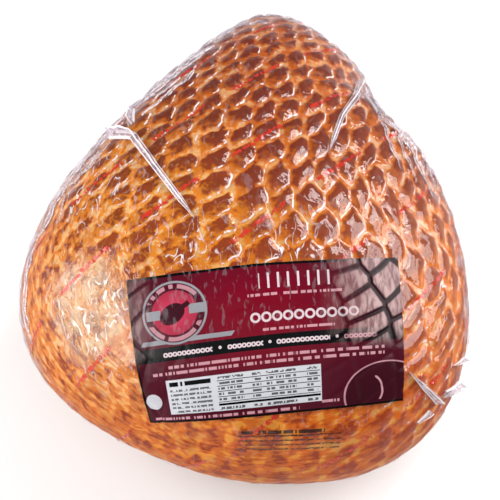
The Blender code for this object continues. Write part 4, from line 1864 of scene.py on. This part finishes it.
@dataclass
class BagFolds:
    """Tapering tents of film on the bag: tall folds, and low strands along its upper edges."""

    chart: SkinChart
    spacing: float = 0.5 * MM
    sunk: float = 0.9 * MM
    start_sunk: float = 0.1 * MM
    low_end: float = 1.2 * MM
    taper: float = 14.0 * MM
    tapered: float = 0.12
    across: int = 13
    steepness: float = 0.85
    crease: float = 60.0
    crest_waves: Waves = ((0.10, 0.0041, 1.0), (0.07, 0.0017, 2.0))
    wander_waves: Waves = ((0.75 * MM, 0.0047, 1.7), (0.45 * MM, 0.0021, 2.9))
    swell_waves: Waves = ((0.35, 0.0033, 2.3),)

    def ring(self, station: Array, side: Array, uneven: float) -> Array:
        """Points of one cross-section: over the tent from foot to foot, then back underneath.

        Args:
            station: The place (u, v, height, half width).
            side: Chart direction across the fold.
            uneven: Share by which the crest is higher or lower here.

        Returns:
            Rows of chart coordinates, height and place across from -1 to 1.
        """
        share = np.linspace(-1.0, 1.0, self.across)
        over = station[2] * uneven * (1.0 - np.abs(share)) ** self.steepness - self.start_sunk
        under = np.full(self.across - 2, -self.sunk)
        share = np.concatenate([share, share[-2:0:-1]])
        flat = station[:2] + share[:, None] * station[3] * side
        return np.column_stack([flat, np.concatenate([over, under]), share])

    def rings(self, fold: Fold, number: int, strand: float) -> tuple[list[Array], Array]:
        """Cross-sections of one fold, whose crest rises and falls a little along it.

        Args:
            fold: The fold.
            number: Its number.
            strand: 1 for a strand, which wanders and swells, and 0 for a tall fold.

        Returns:
            The cross-sections, and the metres walked to each.
        """
        stations, walked = fold.stations(self.spacing)
        forward = np.gradient(stations[:, :2], axis=0)
        forward = forward / np.linalg.norm(forward, axis=1, keepdims=True)
        aside = np.stack([-forward[:, 1], forward[:, 0]], axis=1)
        stations[:, :2] += strand * waver(walked, number, self.wander_waves)[:, None] * aside
        stations[:, 3] *= 1.0 + strand * waver(walked, number, self.swell_waves)
        for end, gone in ((0, walked), (-1, walked[-1] - walked)):
            if stations[end, 2] <= self.low_end:
                stations[:, 3] *= np.clip(gone / self.taper, self.tapered, 1.0)
        uneven = 1.0 + waver(walked, number, self.crest_waves)
        return [self.ring(*each) for each in zip(stations, aside, uneven)], walked

    def faces(self, first: int, sections: int) -> list[tuple[int, ...]]:
        """Faces of one fold: quads round each stretch and a cap at either end.

        Args:
            first: Number of its first vertex.
            sections: How many cross-sections it has.

        Returns:
            Vertex numbers of each face.
        """
        count = 2 * self.across - 2
        around = np.arange(count)
        following = np.roll(around, -1)
        start = first + np.arange(sections - 1)[:, None] * count
        corners = [start + around, start + following, start + count + following, start + count + around]
        caps = [first + around[::-1], first + (sections - 1) * count + around]
        quads = np.stack(corners, axis=-1).reshape(-1, 4)
        return [tuple(face) for face in quads.tolist() + [cap.tolist() for cap in caps]]

    def build(self) -> bpy.types.Object:
        """Build and dress the folds and strands.

        Returns:
            The folds, as one piece.
        """
        rows, walks, strands, faces = [], [], [], []
        count = 2 * self.across - 2
        for number, each in enumerate(BAG_FOLDS + RIM_STRANDS):
            if each.puffed:
                continue
            strand = float(number >= len(BAG_FOLDS))
            rings, walked = self.rings(each, number, strand)
            faces.extend(self.faces(len(rows) * count, len(rings)))
            rows.extend(rings)
            walks.append(np.repeat(walked / MM, count))
            strands.append(np.full(len(rings) * count, strand))
        ring = np.concatenate(rows)
        ring[:, 2] += puffed_rise(ring[:, 0], ring[:, 1])
        skin = self.chart.points_at(ring[:, 0], ring[:, 1])
        outward = self.chart.form.normals(skin)
        points = skin + outward * ring[:, 2:3] + np.array(self.chart.form.to_origin)
        piece = Maker.mesh("bag_folds", points, faces, self.crease)
        Maker.chart(piece, "fold_mm", ring[:, 3], np.concatenate(walks))
        Maker.number(piece, "strand", np.concatenate(strands))
        piece.data.materials.append(FoldFinish().material())
        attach(piece, "root")
        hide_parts("bagged_ham")
        return piece


@dataclass
class BagLabel:
    """The printed label: a thin sheet that lies on the bag and dips into the grooves."""

    chart: SkinChart
    cells: NetCells
    top_left: tuple[float, float] = (-0.0737, -0.0335)
    top_right: tuple[float, float] = (0.0801, -0.0182)
    bottom_right: tuple[float, float] = (0.0829, -0.1017)
    bottom_left: tuple[float, float] = (-0.0658, -0.1190)
    gap: float = 0.45 * MM
    thickness: float = 0.55 * MM
    dip: float = 0.6 * MM
    dip_width: float = 1.35 * MM
    dip_steepness: float = 1.5
    middle_dip: float = 0.35
    right_end: Limits = (0.66, 0.88)
    left_end: Limits = (0.14, 0.03)
    off_bag: float = 0.05 * MM
    crease: float = 50.0
    rows: int = 130
    columns: int = 230

    def build(self) -> bpy.types.Object:
        """Build and dress the label.

        Returns:
            The label.
        """
        down = np.linspace(0.0, 1.0, self.rows)[:, None, None]
        across = np.linspace(0.0, 1.0, self.columns)[None, :, None]
        top = np.array(self.top_left) * (1.0 - across) + np.array(self.top_right) * across
        bottom = np.array(self.bottom_left) * (1.0 - across) + np.array(self.bottom_right) * across
        flat = (top * (1.0 - down) + bottom * down).reshape(-1, 2)
        skin = self.chart.points_at(flat[:, 0], flat[:, 1])
        outward = self.chart.form.normals(skin)
        net = self.cells.look_up(flat[:, 0], flat[:, 1])
        x = np.broadcast_to(across[..., 0], (self.rows, self.columns)).ravel()
        y = np.broadcast_to(down[..., 0], (self.rows, self.columns)).ravel()
        ends = np.maximum(smooth_step(x, *self.right_end), smooth_step(x, *self.left_end))
        sunk = np.exp(-((net.edge / self.dip_width) ** self.dip_steepness))
        dip = self.dip * sunk * (self.middle_dip + (1.0 - self.middle_dip) * ends)
        over = skin + outward * (self.gap + self.thickness - dip)[:, None]
        under = over - outward * (self.thickness - self.off_bag)
        count = self.rows * self.columns
        index = np.arange(count).reshape(self.rows, self.columns)
        quads = np.stack([index[:-1, :-1], index[1:, :-1], index[1:, 1:], index[:-1, 1:]], axis=-1)
        quads = quads.reshape(-1, 4)
        edge = np.concatenate([index[0, :-1], index[:-1, -1], index[-1, :0:-1], index[:0:-1, 0]])
        following = np.roll(edge, -1)
        sides = np.stack([edge, following, following + count, edge + count], axis=1)
        faces = np.concatenate([quads, quads[:, ::-1] + count, sides])
        points = np.concatenate([over, under]) + np.array(self.chart.form.to_origin)
        piece = Maker.mesh("label_sheet", points, [tuple(face) for face in faces.tolist()], self.crease)
        printed = LabelPrint()
        Maker.chart(piece, "print_mm", np.tile(x, 2) * printed.width, np.tile(y, 2) * printed.height)
        Maker.number(piece, "sunk", np.tile(sunk, 2))
        piece.data.materials.append(printed.material())
        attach(piece, "root")
        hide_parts("label")
        return piece


@dataclass(frozen=True)
class SoftBox:
    """An area light that points at the ham."""

    name: str
    bearing: float
    elevation: float
    distance: float
    size: float
    power: float
    width: float = 0.0

    def place(self, target: Vector) -> None:
        """Put the light in the scene, aimed at the target.

        Args:
            target: Where the light points.
        """
        bearing, elevation = math.radians(self.bearing), math.radians(self.elevation)
        level = math.cos(elevation)
        away = Vector((math.sin(bearing) * level, math.cos(bearing) * level, math.sin(elevation)))
        lamp = bpy.data.lights.new(self.name, "AREA")
        lamp.shape = "RECTANGLE"
        lamp.size = self.width or self.size
        lamp.size_y = self.size
        lamp.energy = self.power
        light = bpy.data.objects.new(self.name, lamp)
        light.location = target + away * self.distance
        light.rotation_mode = "QUATERNION"
        light.rotation_quaternion = (-away).to_track_quat("-Z", "Y")
        bpy.context.collection.objects.link(light)


@dataclass
class Studio:
    """Floor, lights and the camera at the photograph's angle."""

    elevation: float = math.radians(55.0)
    distance: float = 1.1
    frame_width: float = 0.310
    sensor: float = 36.0
    aim_x: float = 0.00344
    aim_y: float = 0.0018
    aim_z: float = 0.080
    aim_down: float = 0.01694
    farthest_seen: float = 50.0
    floor_half: float = 4.0
    floor_drop: float = 0.0003
    floor_colour: Rgb = (0.72, 0.72, 0.72)
    world_strength: float = 0.30
    lit_point: tuple[float, float, float] = (0.0, -0.03, 0.10)

    def camera(self) -> bpy.types.Object:
        """Make the camera and set it as the scene's.

        Returns:
            The camera.
        """
        data = bpy.data.cameras.new("camera")
        data.sensor_width = self.sensor
        data.lens = self.sensor * self.distance / self.frame_width
        data.clip_end = self.farthest_seen
        camera = bpy.data.objects.new("camera", data)
        up = Vector((0.0, math.sin(self.elevation), math.cos(self.elevation)))
        forward = Vector((0.0, math.cos(self.elevation), -math.sin(self.elevation)))
        target = Vector((self.aim_x, self.aim_y, self.aim_z)) - up * self.aim_down
        camera.location = target - forward * self.distance
        camera.rotation_euler = (math.pi / 2.0 - self.elevation, 0.0, 0.0)
        bpy.context.collection.objects.link(camera)
        bpy.context.scene.camera = camera
        return camera

    def floor(self) -> bpy.types.Object:
        """Make the plain pale floor.

        Returns:
            The floor.
        """
        flat = [(-1.0, -1.0), (1.0, -1.0), (1.0, 1.0), (-1.0, 1.0)]
        corners = [(x * self.floor_half, y * self.floor_half, -self.floor_drop) for x, y in flat]
        floor = Maker.mesh("floor", np.array(corners), [(0, 1, 2, 3)])
        tree = Tree("pale_floor")
        surface = tree.surface(Base_Color=self.floor_colour, Roughness=0.9)
        floor.data.materials.append(tree.finish(surface))
        return floor

    def lights(self) -> None:
        """Light the room softly, with tall soft boxes left and right."""
        world = bpy.data.worlds.new("soft_room")
        world.use_nodes = True
        background = world.node_tree.nodes["Background"]
        background.inputs["Color"].default_value = (1.0, 1.0, 1.0, 1.0)
        background.inputs["Strength"].default_value = self.world_strength
        bpy.context.scene.world = world
        boxes = (
            SoftBox("left_box", -106.0, 27.0, 1.25, 1.05, 31.0, 1.45),
            SoftBox("right_box", 76.0, 33.0, 1.25, 0.95, 22.0),
            SoftBox("back_box", 40.0, 47.0, 1.30, 0.46, 8.0),
            SoftBox("front_fill", 186.0, 52.0, 2.20, 2.40, 14.0),
        )
        for box in boxes:
            box.place(Vector(self.lit_point))
        bpy.context.scene.view_settings.view_transform = "Standard"


def main() -> None:
    """Build every piece over the loaded frame."""
    logging.basicConfig(level=logging.INFO, format="%(message)s")
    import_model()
    studio = Studio()
    studio.camera()
    chart = SkinChart(HamForm())
    cells = NetCells(chart)
    grid = SkinGrid(chart, cells)
    meat = Meat(grid)
    made = [meat.build(), ClearBag(grid).build(meat), BagFolds(chart).build()]
    made.append(BagLabel(chart, cells).build())
    for piece in made:
        LOG.info("%s: %d vertices", piece.name, len(piece.data.vertices))
    studio.floor()
    studio.lights()


if __name__ == "__main__":
    main()
